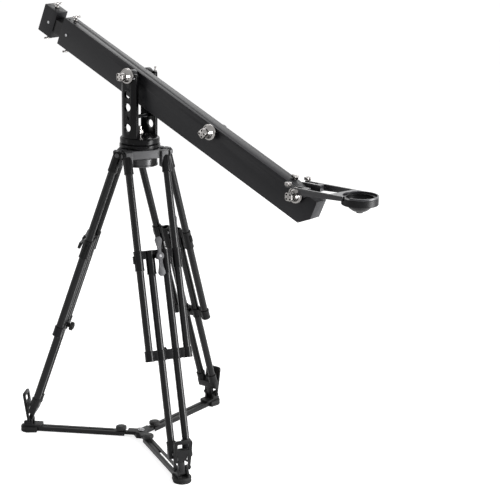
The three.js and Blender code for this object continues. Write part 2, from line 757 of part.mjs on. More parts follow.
function turntable() {
  const low = BASE_TOP + GAP;
  const bore = SPIGOT_R + RUNNING;
  const roof = SPIGOT_TOP + GAP;
  const rim = TABLE_BEVEL;
  return turned([
    [bore, low],
    [TABLE_NECK_R, low],
    [TABLE_NECK_R, TABLE_GROOVE_TOP],
    [TABLE_R, TABLE_GROOVE_TOP],
    [TABLE_R, TABLE_TOP - rim],
    [TABLE_R - rim, TABLE_TOP],
    [PAN_STEM_R + RUNNING, TABLE_TOP],
    [PAN_STEM_R + RUNNING, roof],
    [bore, roof],
  ]);
}

function turntableBase() {
  const bevel = BASE_BEVEL;
  return turned([
    [0, CLAMP_STUD_LOW],
    [CLAMP_STUD_R, CLAMP_STUD_LOW],
    [CLAMP_STUD_R, BALL_LOW],
    [BALL_LOW_R, BALL_LOW],
    [(BALL_LOW_R + BALL_TOP_R) / 2 + GAP, (BALL_LOW + BASE_BOTTOM) / 2],
    [BALL_TOP_R, BASE_BOTTOM],
    [BASE_R - bevel, BASE_BOTTOM],
    [BASE_R, BASE_BOTTOM + bevel],
    [BASE_R, BASE_TOP - bevel],
    [BASE_R - bevel, BASE_TOP],
    [SPIGOT_R, BASE_TOP],
    [SPIGOT_R, SPIGOT_TOP],
    [0, SPIGOT_TOP],
  ]);
}

function panKnob() {
  const outline = lobedOutline(PAN_KNOB_R, PAN_LOBES, PAN_LOBE_SHARE);
  return union(
    flatPlate(outline, [PAN_KNOB_LOW, PAN_KNOB_HIGH]),
    rod('z', PAN_STEM_R, [SPIGOT_TOP + GAP + GAP, PAN_KNOB_LOW + GAP], [0, 0], ROD_SIDES),
  );
}

function bowlClamp() {
  return turned([
    [CLAMP_STUD_R + GAP, CROWN_BOTTOM - GAP],
    [CLAMP_STUD_R + GAP, CLAMP_LOW],
    [CLAMP_BOSS, CLAMP_LOW],
    [CLAMP_BOSS, CLAMP_TOP - CLAMP_DISC],
    [CLAMP_R - CLAMP_WALL, CLAMP_TOP - CLAMP_DISC],
    [CLAMP_R - CLAMP_WALL, CLAMP_LOW],
    [CLAMP_R, CLAMP_LOW],
    [CLAMP_R + CLAMP_FLARE, CLAMP_LOW + CLAMP_FLARE],
    [CLAMP_R, CLAMP_LOW + CLAMP_FLARE * 2],
    [CLAMP_R, CLAMP_TOP],
    [CLAMP_NECK_R, CLAMP_TOP],
    [CLAMP_NECK_R, CROWN_BOTTOM - GAP],
  ]);
}

// Tripod crown: a bowl ring with a lug for each leg and the leg's hinge pin across it
function crown() {
  let body = rod('z', CROWN_R, [CROWN_BOTTOM, CROWN_TOP], [0, 0], FINE_SIDES);
  const lugTop = CROWN_TOP - GAP - GAP;
  const pinEnd = CHEEK_OUTER + GAP;
  for (let leg = 0; leg < LEG_COUNT; leg += 1) {
    const lug = block([0, CROWN_LUG_REACH], [-CROWN_LUG_HALF, CROWN_LUG_HALF], [CROWN_BOTTOM, lugTop]);
    const pin = rod('y', HINGE_PIN_R, [-pinEnd, pinEnd], [HINGE_RADIUS, HINGE_HEIGHT], ROD_SIDES);
    const heads = [-1, 1].map((side) => {
      const reach = span(side, pinEnd, pinEnd + PIN_HEAD);
      return rod('y', PIN_HEAD_R, reach, [HINGE_RADIUS, HINGE_HEIGHT], ROD_SIDES);
    });
    body = body.add(union(lug, pin, ...heads).rotate([0, 0, LEG_FIRST_DEG + (leg * 360) / LEG_COUNT]));
  }
  const hollow = rod('z', [BOWL_LOW_R, BOWL_TOP_R], [CROWN_BOTTOM, CROWN_TOP], [0, 0], FINE_SIDES);
  const height = [CROWN_BOTTOM - OVERRUN, CROWN_TOP + OVERRUN];
  const through = rod('z', BOWL_LOW_R - GAP, height, [0, 0], FINE_SIDES);
  return cut(body, hollow, through);
}

// Leg frame: x runs outward from the pan axis, y along the hinge, z up. Down the leg itself the tubes
// are placed in a line frame whose origin is the hinge and whose -z points at the foot pin.
const LEG_RUN = FOOT_RADIUS - HINGE_RADIUS;
const LEG_DROP = HINGE_HEIGHT - FOOT_HEIGHT;
const LEG_LENGTH = Math.hypot(LEG_RUN, LEG_DROP);
const LEG_ANGLE = Math.atan2(LEG_RUN, LEG_DROP);
const FITTING_BLOCK_END = LEG_LENGTH - FITTING_REACH;
const FITTING_BLOCK = FITTING_BLOCK_END - FITTING_BLOCK_LENGTH;
const FITTING_START = FITTING_BLOCK - FITTING_SOCKET;

function tube(offset, start, end) {
  return rod('z', TUBE_R, [-end, -start], [0, offset], ROD_SIDES);
}

function tubeBore(offset, start, end) {
  return rod('z', TUBE_R - TUBE_WALL, [-end, -start], [0, offset], ROD_SIDES);
}

// Outer stage: two hinge castings, two tubes and the lower bracket that ties them together
function upperFrame() {
  const pieces = [];
  const bores = [];
  for (const side of [-1, 1]) {
    const offset = side * OUTER_OFFSET;
    const cheek = span(side, CHEEK_INNER, CHEEK_OUTER);
    pieces.push(rod('y', CHEEK_R, cheek, [0, 0], ROD_SIDES));
    const plate = span(side, CHEEK_INNER + GAP, CHEEK_PLATE_END);
    const upright = block([-CHEEK_R, CHEEK_PLATE_FACE], plate, [-CHEEK_PLATE_DROP, CHEEK_R]);
    pieces.push(upright.rotate([0, (LEG_ANGLE * 180) / Math.PI, 0]));
    const core = span(side, CHEEK_INNER, CHEEK_PLATE_END);
    pieces.push(block([-CHEEK_R, CHEEK_R], core, [-CASTING_START - GAP, 0]));
    pieces.push(rod('z', COLLAR_R, [-CASTING_END, 0], [0, offset], ROD_SIDES));
    pieces.push(tube(offset, CASTING_START, BRACKET_END));
    pieces.push(rod('z', COLLAR_R, [-BRACKET_END, -BRACKET_START], [0, offset], ROD_SIDES));
    pieces.push(rod('z', COLLAR_R, [-BRACKET_END, -BRACKET_START], [0, side * INNER_OFFSET], ROD_SIDES));
    const pinWay = span(side, CHEEK_INNER - GAP, CHEEK_OUTER + GAP);
    bores.push(rod('y', HINGE_PIN_R + GAP, pinWay, [0, 0], ROD_SIDES));
    bores.push(rod('z', TUBE_R + RUNNING, [-BRACKET_END - OVERRUN, -BRACKET_START + OVERRUN],
      [0, side * INNER_OFFSET], ROD_SIDES));
    bores.push(tubeBore(offset, CASTING_END, BRACKET_END + OVERRUN));
  }
  pieces.push(block(
    [-BRACKET_WEB_HALF, BRACKET_WEB_HALF],
    [-OUTER_OFFSET, OUTER_OFFSET],
    [-BRACKET_END, -BRACKET_START],
  ));
  pieces.push(rod('x', CLAMP_BOSS_R, [-CLAMP_BOSS_OUT, 0], [0, -CLAMP_STATION], ROD_SIDES));
  const stemWay = [-CLAMP_BOSS_OUT - OVERRUN, -BRACKET_WEB_HALF];
  bores.push(rod('x', STAR_STEM_R + RUNNING, stemWay, [0, -CLAMP_STATION], ROD_SIDES));
  return cut(union(...pieces), ...bores);
}

// Inner stage: the slider bracket, two tubes and the foot fitting
function lowerFrame() {
  const pieces = [];
  const bores = [];
  for (const side of [-1, 1]) {
    const inner = side * INNER_OFFSET;
    pieces.push(rod('z', COLLAR_R, [-SLIDER_END, -SLIDER_START], [0, side * OUTER_OFFSET], ROD_SIDES));
    bores.push(rod('z', TUBE_R + RUNNING, [-SLIDER_END - OVERRUN, -SLIDER_START + OVERRUN],
      [0, side * OUTER_OFFSET], ROD_SIDES));
    pieces.push(rod('z', SOCKET_R, [-SOCKET_END, -SLIDER_START - GAP], [0, inner], ROD_SIDES));
    pieces.push(tube(inner, SLIDER_START + GAP, FITTING_BLOCK_END));
    pieces.push(rod('z', SOCKET_R, [-FITTING_BLOCK - GAP, -FITTING_START], [0, inner], ROD_SIDES));
  }
  pieces.push(block(
    [-WEB_HALF, WEB_HALF],
    [-OUTER_OFFSET, OUTER_OFFSET],
    [-SLIDER_START - GAP - WEB_LENGTH, -SLIDER_START - GAP],
  ));
  pieces.push(rod('x', LEVER_BOSS_R, [0, LEVER_BOSS_OUT], [0, -LEVER_STATION], ROD_SIDES));
  const screwWay = [WEB_HALF, LEVER_BOSS_OUT + OVERRUN];
  bores.push(rod('x', LEVER_SCREW_R + GAP, screwWay, [0, -LEVER_STATION], ROD_SIDES));
  pieces.push(block(
    [-FITTING_DEPTH, FITTING_DEPTH],
    [-FITTING_HALF, FITTING_HALF],
    [-FITTING_BLOCK_END, -FITTING_BLOCK],
  ));
  pieces.push(block(
    [-TONGUE_DEPTH, TONGUE_DEPTH],
    [-TONGUE_HALF, TONGUE_HALF],
    [-LEG_LENGTH, -FITTING_BLOCK],
  ));
  pieces.push(rod('y', FOOT_BOSS_R, [-TONGUE_HALF, TONGUE_HALF], [0, -LEG_LENGTH]));
  for (const side of [-1, 1]) {
    bores.push(tubeBore(side * INNER_OFFSET, SLIDER_START - OVERRUN, FITTING_START));
  }
  bores.push(rod('y', FOOT_PIN_R + RUNNING, [-OVERRUN, OVERRUN], [0, -LEG_LENGTH], ROD_SIDES));
  return cut(union(...pieces), ...bores);
}

// Bone-shaped clamp lever on the slider's outer face
function clampLever() {
  const shape = new THREE.Shape();
  const ends = [[LEVER_UP, 1], [-LEVER_DOWN, -1]];
  const near = LEVER_BOSS_OUT + GAP;
  const outline = [];
  const steps = 5;
  for (const [reach, sign] of ends) {
    const centre = reach - sign * LEVER_END_R;
    outline.push([sign * LEVER_WAIST, centre * LEVER_WAIST_SHARE]);
    for (let i = 0; i <= steps; i += 1) {
      const angle = (i / steps) * Math.PI;
      outline.push([sign * LEVER_END_R * Math.cos(angle), centre + sign * LEVER_END_R * Math.sin(angle)]);
    }
    outline.push([-sign * LEVER_WAIST, centre * LEVER_WAIST_SHARE]);
  }
  outline.forEach(([y, z], i) => (i ? shape.lineTo(z, y) : shape.moveTo(z, y)));
  const plate = extruded(shape, LEVER_THICK);
  plate.rotateY(Math.PI / 2);
  plate.rotateX(Math.PI);
  plate.translate(near, 0, 0);
  return union(
    solid(plate),
    rod('x', LEVER_HUB_R, [near, near + LEVER_THICK], [0, 0]),
    rod('x', LEVER_SCREW_R, [WEB_HALF + GAP, near + LEVER_THICK + LEVER_SCREW_HEAD], [0, 0], ROD_SIDES),
  );
}

// Star knob that clamps the inner tubes from the crown side of the lower bracket
function legKnob() {
  const outline = extruded(lobedOutline(STAR_R, STAR_LOBES, LEG_STAR_SHARE), STAR_THICK);
  outline.rotateY(-Math.PI / 2);
  outline.translate(-CLAMP_BOSS_OUT - GAP, 0, -CLAMP_STATION);
  const stem = [-CLAMP_BOSS_OUT - GAP - GAP, -BRACKET_WEB_HALF - GAP];
  return union(
    solid(outline),
    rod('x', STAR_STEM_R, stem, [0, -CLAMP_STATION], ROD_SIDES),
  );
}

// Ground spreader: a hexagonal hub with three wings over three stub bars
const STUB_TOP = RAIL_TOP - RAIL_WALL - GAP;

function spreaderHub() {
  const wingLow = RAIL_TOP + GAP;
  let body = rod('z', HEX_R, [0, HEX_TOP], [0, 0], LEG_COUNT + LEG_COUNT);
  body = body.add(rod('z', HUB_CAP_R, [0, HEX_TOP + HUB_CAP_RISE], [0, 0]));
  for (let leg = 0; leg < LEG_COUNT; leg += 1) {
    const wing = union(
      block([0, WING_REACH], [-WING_HALF, WING_HALF], [wingLow, HEX_TOP]),
      block([0, STUB_REACH], [-STUB_HALF, STUB_HALF], [STUB_TOP - STUB_HEIGHT, STUB_TOP]),
    );
    body = body.add(wing.rotate([0, 0, LEG_FIRST_DEG + (leg * 360) / LEG_COUNT]));
  }
  return body;
}

// Spreader arm: a slotted channel over the stub bar, then the cradle and the pin that carries the leg
function spreaderArm() {
  const plateLow = PAD_HEIGHT + GAP;
  const plateTop = plateLow + FOOT_PLATE_THICK;
  const inner = RAIL_HALF - RAIL_WALL;
  const channel = cut(
    block([RAIL_START, RAIL_END], [-RAIL_HALF, RAIL_HALF], [RAIL_LOW, RAIL_TOP]),
    block(
      [RAIL_START - OVERRUN, END_BLOCK_START],
      [-inner, inner],
      [RAIL_LOW - OVERRUN, RAIL_TOP - RAIL_WALL],
    ),
    block([SLOT_START, SLOT_END], [-SLOT_HALF, SLOT_HALF], [RAIL_LOW, RAIL_TOP + OVERRUN]),
    rod('z', LOCK_STEM_R + RUNNING, [RAIL_LOW, RAIL_TOP + OVERRUN], [LOCK_STATION, 0], ROD_SIDES),
  );
  const plate = flatPlate(
    roundedRect(END_BLOCK_START, FOOT_PLATE_END, -FOOT_PLATE_HALF, FOOT_PLATE_HALF, FOOT_PLATE_THICK),
    [plateLow, plateTop],
  );
  const endBlock = block(
    [END_BLOCK_START, END_BLOCK_END],
    [-RAIL_HALF, RAIL_HALF],
    [RAIL_LOW, plateLow + GAP],
  );
  const cheekShape = polygon([
    [FOOT_RADIUS - FORK_R, plateLow + GAP],
    [FOOT_PLATE_END - LATCH_PIN_R, plateLow + GAP],
    [LATCH_RADIUS + LATCH_PIN_R + LATCH_PIN_R, LATCH_HEIGHT],
    [LATCH_RADIUS + LATCH_PIN_R, FORK_HEIGHT],
    [FOOT_RADIUS, FORK_HEIGHT],
    [FOOT_RADIUS - FORK_R, FOOT_HEIGHT + FORK_R],
  ]);
  const tongueWay = block(
    [FOOT_RADIUS - FORK_R, FOOT_PLATE_END + OVERRUN],
    [-TONGUE_HALF - GAP, TONGUE_HALF + GAP],
    [plateLow - OVERRUN, plateTop + OVERRUN],
  );
  return cut(
    union(
      cut(union(channel, plate, endBlock), tongueWay),
      ...[-1, 1].map((side) => sidePlate(cheekShape, span(side, FORK_INNER, FORK_OUTER))),
      rod('y', FOOT_PIN_R, [-FORK_OUTER, FORK_OUTER], [FOOT_RADIUS, FOOT_HEIGHT], ROD_SIDES),
    ),
    rod('y', LATCH_PIN_R + RUNNING, [-FORK_OUTER - OVERRUN, FORK_OUTER + OVERRUN],
      [LATCH_RADIUS, LATCH_HEIGHT], ROD_SIDES),
  );
}

// Lock knob: oval, above the wings, its stem down to the stub bar
function lockKnob() {
  const base = HEX_TOP + GAP;
  const outline = new THREE.Shape();
  outline.absellipse(0, 0, LOCK_DEEP, LOCK_HALF, 0, Math.PI * 2, false, 0);
  const knob = extruded(outline, LOCK_THICK, LOCK_CURVE_STEPS);
  knob.translate(LOCK_STATION, 0, base);
  return union(
    solid(knob),
    rod('z', LOCK_STEM_R, [STUB_TOP + GAP, base + GAP], [LOCK_STATION, 0], ROD_SIDES),
  );
}

// Rubber pad under each foot, round at its nose
function footPad() {
  const shape = new THREE.Shape();
  const nose = FOOT_RADIUS;
  const tail = nose - PAD_TAIL;
  shape.moveTo(tail, -PAD_HALF * PAD_TAIL_SHARE);
  shape.lineTo(nose, -PAD_HALF);
  shape.absarc(nose, 0, PAD_HALF, -Math.PI / 2, Math.PI / 2, false);
  shape.lineTo(tail, PAD_HALF * PAD_TAIL_SHARE);
  return flatPlate(shape, [0, PAD_HEIGHT], 10);
}

// Foot latch: a pedal plate with a window, two arms outside the fork and a tongue, on its own pin
function footLatch() {
  const half = LATCH_HALF;
  const shape = new THREE.Shape();
  const bend = LATCH_THICK;
  shape.moveTo(half, -bend);
  shape.lineTo(half, LATCH_LENGTH - bend);
  shape.absarc(half - bend, LATCH_LENGTH - bend, bend, 0, Math.PI / 2, false);
  shape.absarc(-half + bend, LATCH_LENGTH - bend, bend, Math.PI / 2, Math.PI, false);
  shape.lineTo(-half, -bend);
  shape.lineTo(-LATCH_ARM_INNER, -bend);
  shape.lineTo(-LATCH_ARM_INNER, LATCH_BODY_LOW);
  shape.lineTo(-LATCH_TONGUE_HALF, LATCH_BODY_LOW);
  shape.lineTo(-LATCH_TONGUE_HALF, LATCH_TONGUE_LOW);
  shape.lineTo(LATCH_TONGUE_HALF, LATCH_TONGUE_LOW);
  shape.lineTo(LATCH_TONGUE_HALF, LATCH_BODY_LOW);
  shape.lineTo(LATCH_ARM_INNER, LATCH_BODY_LOW);
  shape.lineTo(LATCH_ARM_INNER, -bend);
  shape.holes.push(new THREE.Path([
    new THREE.Vector2(-WINDOW_HALF, WINDOW_LOW),
    new THREE.Vector2(-WINDOW_HALF, WINDOW_HIGH),
    new THREE.Vector2(WINDOW_HALF, WINDOW_HIGH),
    new THREE.Vector2(WINDOW_HALF, WINDOW_LOW),
  ]));
  const plate = extruded(shape, LATCH_THICK);
  plate.rotateX(Math.PI / 2);
  plate.rotateZ(Math.PI / 2);
  plate.translate(-LATCH_THICK / 2, 0, 0);
  const pins = [-1, 1].map((side) => {
    const reach = span(side, FORK_INNER + LATCH_PIN_CLEAR, half - LATCH_PIN_R);
    return rod('y', LATCH_PIN_R, reach, [0, 0], ROD_SIDES);
  });
  return union(solid(plate), ...pins);
}

// The platform's axle, and the places that are counted from it
const [FRONT_X, FRONT_Z] = armPoint(FRONT_STATION, 0);
const PLATE_TOP = FRONT_Z + PLATE_RISE;
const PLATFORM_REAR = FRONT_X - PLATFORM_BACK;
const BRIDGE_START = FRONT_X + BRIDGE_AHEAD;
const BRIDGE_END = BRIDGE_START + BRIDGE_LENGTH;
const WEB_START = FRONT_X + WEB_AHEAD;
const RAIL_FRONT = FRONT_X + RAIL_AHEAD;
const BOWL_X = FRONT_X + BOWL_AHEAD;

// Camera platform: a fork of two rails outside the beam's end, a web round the bowl and ears on the axle
function platform() {
  const low = PLATE_TOP - RAIL_DEPTH;
  const inner = PLATFORM_HALF - PLATFORM_RAIL;
  const plateUnder = PLATE_TOP - FRONT_WEB;
  const earInner = BEAM_HALF + GAP;
  const earOuter = earInner + EAR_THICK;
  const [pivotX, pivotZ] = [FRONT_X, FRONT_Z];
  const earShape = polygon([
    [pivotX - EAR_R, pivotZ],
    [pivotX, pivotZ - EAR_R],
    [BRIDGE_END, low],
    [BRIDGE_END, PLATE_TOP - GAP],
    [pivotX - EAR_R, PLATE_TOP - GAP],
  ]);
  const railShape = polygon([
    [PLATFORM_REAR, PLATE_TOP],
    [PLATFORM_REAR, pivotZ + RAIL_NOTCH_R],
    [pivotX + RAIL_NOTCH_R, pivotZ + RAIL_NOTCH_R],
    [pivotX + RAIL_NOTCH_R, low],
    [BRIDGE_END, low],
    [RAIL_FRONT, PLATE_TOP - RAIL_FRONT_DEPTH],
    [RAIL_FRONT, PLATE_TOP],
  ]);
  const pieces = [];
  const tools = [];
  for (const side of [-1, 1]) {
    const rail = span(side, inner, PLATFORM_HALF);
    const ear = span(side, earInner, earOuter);
    pieces.push(sidePlate(railShape, rail));
    pieces.push(rod('y', EAR_R, ear, [pivotX, pivotZ]));
    pieces.push(sidePlate(earShape, ear));
    pieces.push(block(
      [BRIDGE_START, BRIDGE_END],
      span(side, earInner + GAP, inner + GAP),
      [low, PLATE_TOP - GAP],
    ));
    tools.push(rod('y', SMALL_AXLE_R + GAP, span(side, earInner - GAP, earOuter + GAP), [pivotX, pivotZ]));
    tools.push(rod('z', TOP_KNOB_STEM_R + RUNNING, [low - OVERRUN, PLATE_TOP + OVERRUN],
      [PLATFORM_REAR + REAR_KNOB_SETBACK, side * (PLATFORM_HALF - PLATFORM_RAIL / 2)], ROD_SIDES));
  }
  const web = new THREE.Shape();
  web.moveTo(WEB_START, -inner - GAP);
  web.lineTo(BOWL_X, -inner - GAP);
  web.absarc(BOWL_X, 0, BOWL_R, -Math.PI / 2, Math.PI / 2, false);
  web.lineTo(WEB_START + WEB_SLANT, inner + GAP);
  pieces.push(flatPlate(web, [plateUnder, PLATE_TOP], WEB_CURVE_STEPS));
  tools.push(rod('z', BOWL_R - BOWL_WALL, [low - OVERRUN, PLATE_TOP + OVERRUN], [BOWL_X, 0], FINE_SIDES));
  tools.push(rod('z', BOWL_R + GAP, [low - OVERRUN, plateUnder], [BOWL_X, 0], FINE_SIDES));
  return cut(union(...pieces), ...tools);
}

// Camera bowl: a ring under the web with a spherical cup that is open at the bottom
function cameraBowl() {
  const top = PLATE_TOP - FRONT_WEB - GAP;
  const low = top - BOWL_RING;
  const cupLow = PLATE_TOP - BOWL_DEPTH;
  const steps = 4;
  const outer = [];
  const inner = [];
  for (let i = 0; i <= steps; i += 1) {
    const share = i / steps;
    const radius = BOWL_HOLE_R + (BOWL_BORE_R - BOWL_HOLE_R) * Math.cos((share * Math.PI) / 2);
    const height = low - (low - cupLow) * Math.sin((share * Math.PI) / 2);
    inner.push([radius, height + BOWL_WALL]);
    outer.push([radius + BOWL_WALL * (1 - share), height]);
  }
  const profile = [
    ...inner.reverse(),
    [BOWL_BORE_R, top],
    [BOWL_R, top],
    [BOWL_R, low],
    ...outer,
  ];
  return turned(profile).translate([BOWL_X, 0, 0]);
}

function starKnob(x, y, base, stemLow) {
  const outline = extruded(lobedOutline(TOP_KNOB_R, STAR_LOBES, STAR_LOBE_SHARE), TOP_KNOB_THICK);
  outline.translate(x, y, base);
  return union(
    solid(outline),
    rod('z', TOP_KNOB_COLLAR_R, [base - TOP_KNOB_RISE + GAP, base + GAP], [x, y], ROD_SIDES),
    rod('z', TOP_KNOB_STEM_R, [stemLow, base + GAP], [x, y], ROD_SIDES),
  );
}

function frontAxle() {
  const [x, z] = [FRONT_X, FRONT_Z];
  const end = BEAM_HALF + GAP + EAR_THICK + GAP;
  const nut = [end, end + NUT_THICK];
  return cut(
    union(
      rod('y', SMALL_AXLE_R, [-end, nut[1]], [x, z]),
      rod('y', NUT_R, nut, [x, z], NUT_SIDES),
      crankPlate(x, z, NUT_R),
    ),
    rod('y', KNOB_STEM_R + RUNNING, [-end - OVERRUN, -end + KNOB_BORE_DEPTH], [x, z], ROD_SIDES),
  );
}

function midAxle() {
  const end = BEAM_HALF + GAP + SPACER;
  const wide = [[-end, -BEAM_HALF - GAP], [BEAM_HALF + GAP, end]];
  return cut(
    union(
      rod('y', SMALL_AXLE_R, [-end, end], [MID_STATION, 0]),
      ...wide.map((range) => rod('y', SPACER_R, range, [MID_STATION, 0])),
    ),
    rod('y', KNOB_STEM_R + RUNNING, [-end - OVERRUN, -end + KNOB_BORE_DEPTH], [MID_STATION, 0], ROD_SIDES),
  );
}

// Rear block and the insert that carries it in the beam's open end
function rearBlock() {
  const clear = INSERT_CLEAR;
  const half = BEAM_HALF - BEAM_WALL;
  const [low, high] = [BEAM_MIDDLE - INSERT_HEIGHT / 2, BEAM_MIDDLE + INSERT_HEIGHT / 2];
  return cut(
    block([-BLOCK_REAR, -BLOCK_FRONT], [-BEAM_HALF, BEAM_HALF], [BEAM_BOTTOM, BEAM_TOP]),
    block([-BLOCK_REAR + BLOCK_CAP, -BLOCK_FRONT + OVERRUN], [-half, half], [low - clear, high + clear]),
    rod('z', T_STEM_R + RUNNING, [BEAM_BOTTOM - OVERRUN, BEAM_TOP + OVERRUN],
      [-BLOCK_T_STATION, 0], ROD_SIDES),
  );
}

function rearInsert() {
  const half = BEAM_HALF - BEAM_WALL - INSERT_CLEAR;
  const [low, high] = [BEAM_MIDDLE - INSERT_HEIGHT / 2, BEAM_MIDDLE + INSERT_HEIGHT / 2];
  return block([-BLOCK_REAR + BLOCK_CAP + GAP, -INSERT_FRONT], [-half, half], [low, high]);
}

// T-handled screw on the beam's top or bottom, its bar across the arm
function tScrew(station, side) {
  const face = side > 0 ? BEAM_TOP : BEAM_BOTTOM;
  const tip = BEAM_MIDDLE + side * (INSERT_HEIGHT / 2 + GAP);
  const barAt = face + side * T_RISE;
  const [low, high] = [Math.min(tip, barAt), Math.max(tip, barAt)];
  const collarEnd = face + side * T_SCREW_COLLAR;
  const collar = [face + side * GAP, collarEnd].sort((p, q) => p - q);
  return union(
    rod('z', T_STEM_R, [low, high], [-station, 0], ROD_SIDES),
    rod('z', T_SCREW_COLLAR_R, collar, [-station, 0], ROD_SIDES),
    rod('y', T_BAR_R, [-T_BAR_HALF, T_BAR_HALF], [-station, barAt], ROD_SIDES),
  );
}

// Jib pieces in the tilted arm frame
place(arm, 'beam', beam(), MATERIALS.beam);
place(arm, 'beam_front_cap', beamCap(), MATERIALS.beam);
place(arm, 'level_bar', levelBar(), MATERIALS.anodised);
place(arm, 'mid_axle', midAxle(), MATERIALS.steel);
const midBase = -BEAM_HALF - GAP - SPACER - GAP;
place(arm, 'mid_hub', hub(MID_STATION, 0, midBase, KNOB_STEM_R), MATERIALS.silver);
place(arm, 'mid_knob',
  hubKnob(MID_STATION, 0, midBase - HUB_LENGTH - GAP, KNOB_STEM_R, midBase + KNOB_STEM_DEPTH),
  MATERIALS.silver);
place(arm, 'rear_block', rearBlock(), MATERIALS.beam);
place(arm, 'rear_insert', rearInsert(), MATERIALS.anodised);
place(arm, 't_screw_block_top', tScrew(BLOCK_T_STATION, 1), MATERIALS.silver);
place(arm, 't_screw_block_bottom', tScrew(BLOCK_T_STATION, -1), MATERIALS.silver);
place(arm, 't_screw_beam_top', tScrew(BEAM_T_STATION, 1), MATERIALS.silver);
place(arm, 't_screw_beam_bottom', tScrew(BEAM_T_STATION, -1), MATERIALS.silver);
const beamKnobBase = BEAM_TOP + TOP_KNOB_RISE;
place(arm, 'beam_top_knob',
  starKnob(BEAM_KNOB_STATION, BEAM_KNOB_SIDE, beamKnobBase, BEAM_TOP - BEAM_WALL - BEAM_WALL),
  MATERIALS.silver);

// Jib pieces that stay upright
place(crane, 'level_blade', levelBlade(), MATERIALS.steel);
place(crane, 'fulcrum_axle', fulcrumAxle(), MATERIALS.steel);
place(crane, 'fulcrum_bush_near', fulcrumBush(-1), MATERIALS.anodised);
place(crane, 'fulcrum_bush_far', fulcrumBush(1), MATERIALS.anodised);
const fulcrumBase = -SPOT_FACE - GAP - GAP;
place(crane, 'fulcrum_hub', hub(0, PIVOT_HEIGHT, fulcrumBase, KNOB_STEM_R), MATERIALS.silver);
place(crane, 'fulcrum_knob',
  hubKnob(0, PIVOT_HEIGHT, fulcrumBase - HUB_LENGTH - GAP, KNOB_STEM_R, fulcrumBase + KNOB_STEM_DEPTH),
  MATERIALS.silver);
place(crane, 'tilt_t_handle', tHandleAcross(), MATERIALS.silver);
place(crane, 'upright_near', upright(-1), MATERIALS.beam);
place(crane, 'upright_far', upright(1), MATERIALS.beam);
place(crane, 'cross_rod', crossRod(), MATERIALS.anodised);
place(crane, 'turntable', turntable(), MATERIALS.beam);
place(crane, 'turntable_base', turntableBase(), MATERIALS.beam);
place(crane, 'pan_lock_knob', panKnob(), MATERIALS.silver);
place(crane, 'bowl_clamp', bowlClamp(), MATERIALS.plastic);

// Platform pieces
place(crane, 'platform', platform(), MATERIALS.beam);
place(crane, 'camera_bowl', cameraBowl(), MATERIALS.beam);
place(crane, 'front_axle', frontAxle(), MATERIALS.steel);
const frontBase = -BEAM_HALF - GAP - EAR_THICK - GAP - GAP;
place(crane, 'front_hub', hub(FRONT_X, FRONT_Z, frontBase, KNOB_STEM_R), MATERIALS.silver);
place(crane, 'front_knob',
  hubKnob(FRONT_X, FRONT_Z, frontBase - HUB_LENGTH - GAP, KNOB_STEM_R, frontBase + FRONT_STEM_DEPTH),
  MATERIALS.silver);
const railKnobX = PLATFORM_REAR + REAR_KNOB_SETBACK;
const railKnobY = PLATFORM_HALF - PLATFORM_RAIL / 2;
const railKnobBase = PLATE_TOP + TOP_KNOB_RISE;
place(crane, 'rail_knob_near',
  starKnob(railKnobX, -railKnobY, railKnobBase, FRONT_Z + RAIL_NOTCH_R), MATERIALS.silver);
place(crane, 'rail_knob_far',
  starKnob(railKnobX, railKnobY, railKnobBase, FRONT_Z + RAIL_NOTCH_R), MATERIALS.silver);

// Tripod and spreader
place(crane, 'crown', crown(), MATERIALS.casting);
place(crane, 'spreader_hub', spreaderHub(), MATERIALS.casting);
const LEG_NAMES = ['front', 'back', 'left'];
const LEVER_TURN_DEG = [0, 0, 80];
LEG_NAMES.forEach((name, i) => {
  const leg = new THREE.Group();
  leg.rotation.z = radians(LEG_FIRST_DEG + (i * 360) / LEG_COUNT);
  crane.add(leg);
  const line = new THREE.Group();
  line.position.set(HINGE_RADIUS, 0, HINGE_HEIGHT);
  line.rotation.y = -LEG_ANGLE;
  leg.add(line);
  place(line, `leg_${name}_upper`, upperFrame(), MATERIALS.anodised);
  place(line, `leg_${name}_lower`, lowerFrame(), MATERIALS.anodised);
  const leverSeat = new THREE.Group();
  leverSeat.position.z = -LEVER_STATION;
  leverSeat.rotation.x = radians(LEVER_TURN_DEG[i]);
  line.add(leverSeat);
  place(leverSeat, `leg_${name}_lever`, clampLever(), MATERIALS.lever);
  place(line, `leg_${name}_knob`, legKnob(), MATERIALS.plastic);
  place(leg, `spreader_arm_${name}`, spreaderArm(), MATERIALS.casting);
  place(leg, `spreader_knob_${name}`, lockKnob(), MATERIALS.plastic);
  place(leg, `foot_pad_${name}`, footPad(), MATERIALS.rubber);
  const hinge = new THREE.Group();
  hinge.position.set(LATCH_RADIUS, 0, LATCH_HEIGHT);
  hinge.rotation.y = radians(LATCH_LEAN_DEG);
  leg.add(hinge);
  place(hinge, `foot_latch_${name}`, footLatch(), MATERIALS.casting);
});

export default crane;
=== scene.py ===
import json
import math

import bmesh
import bpy
from mathutils import Matrix, Vector


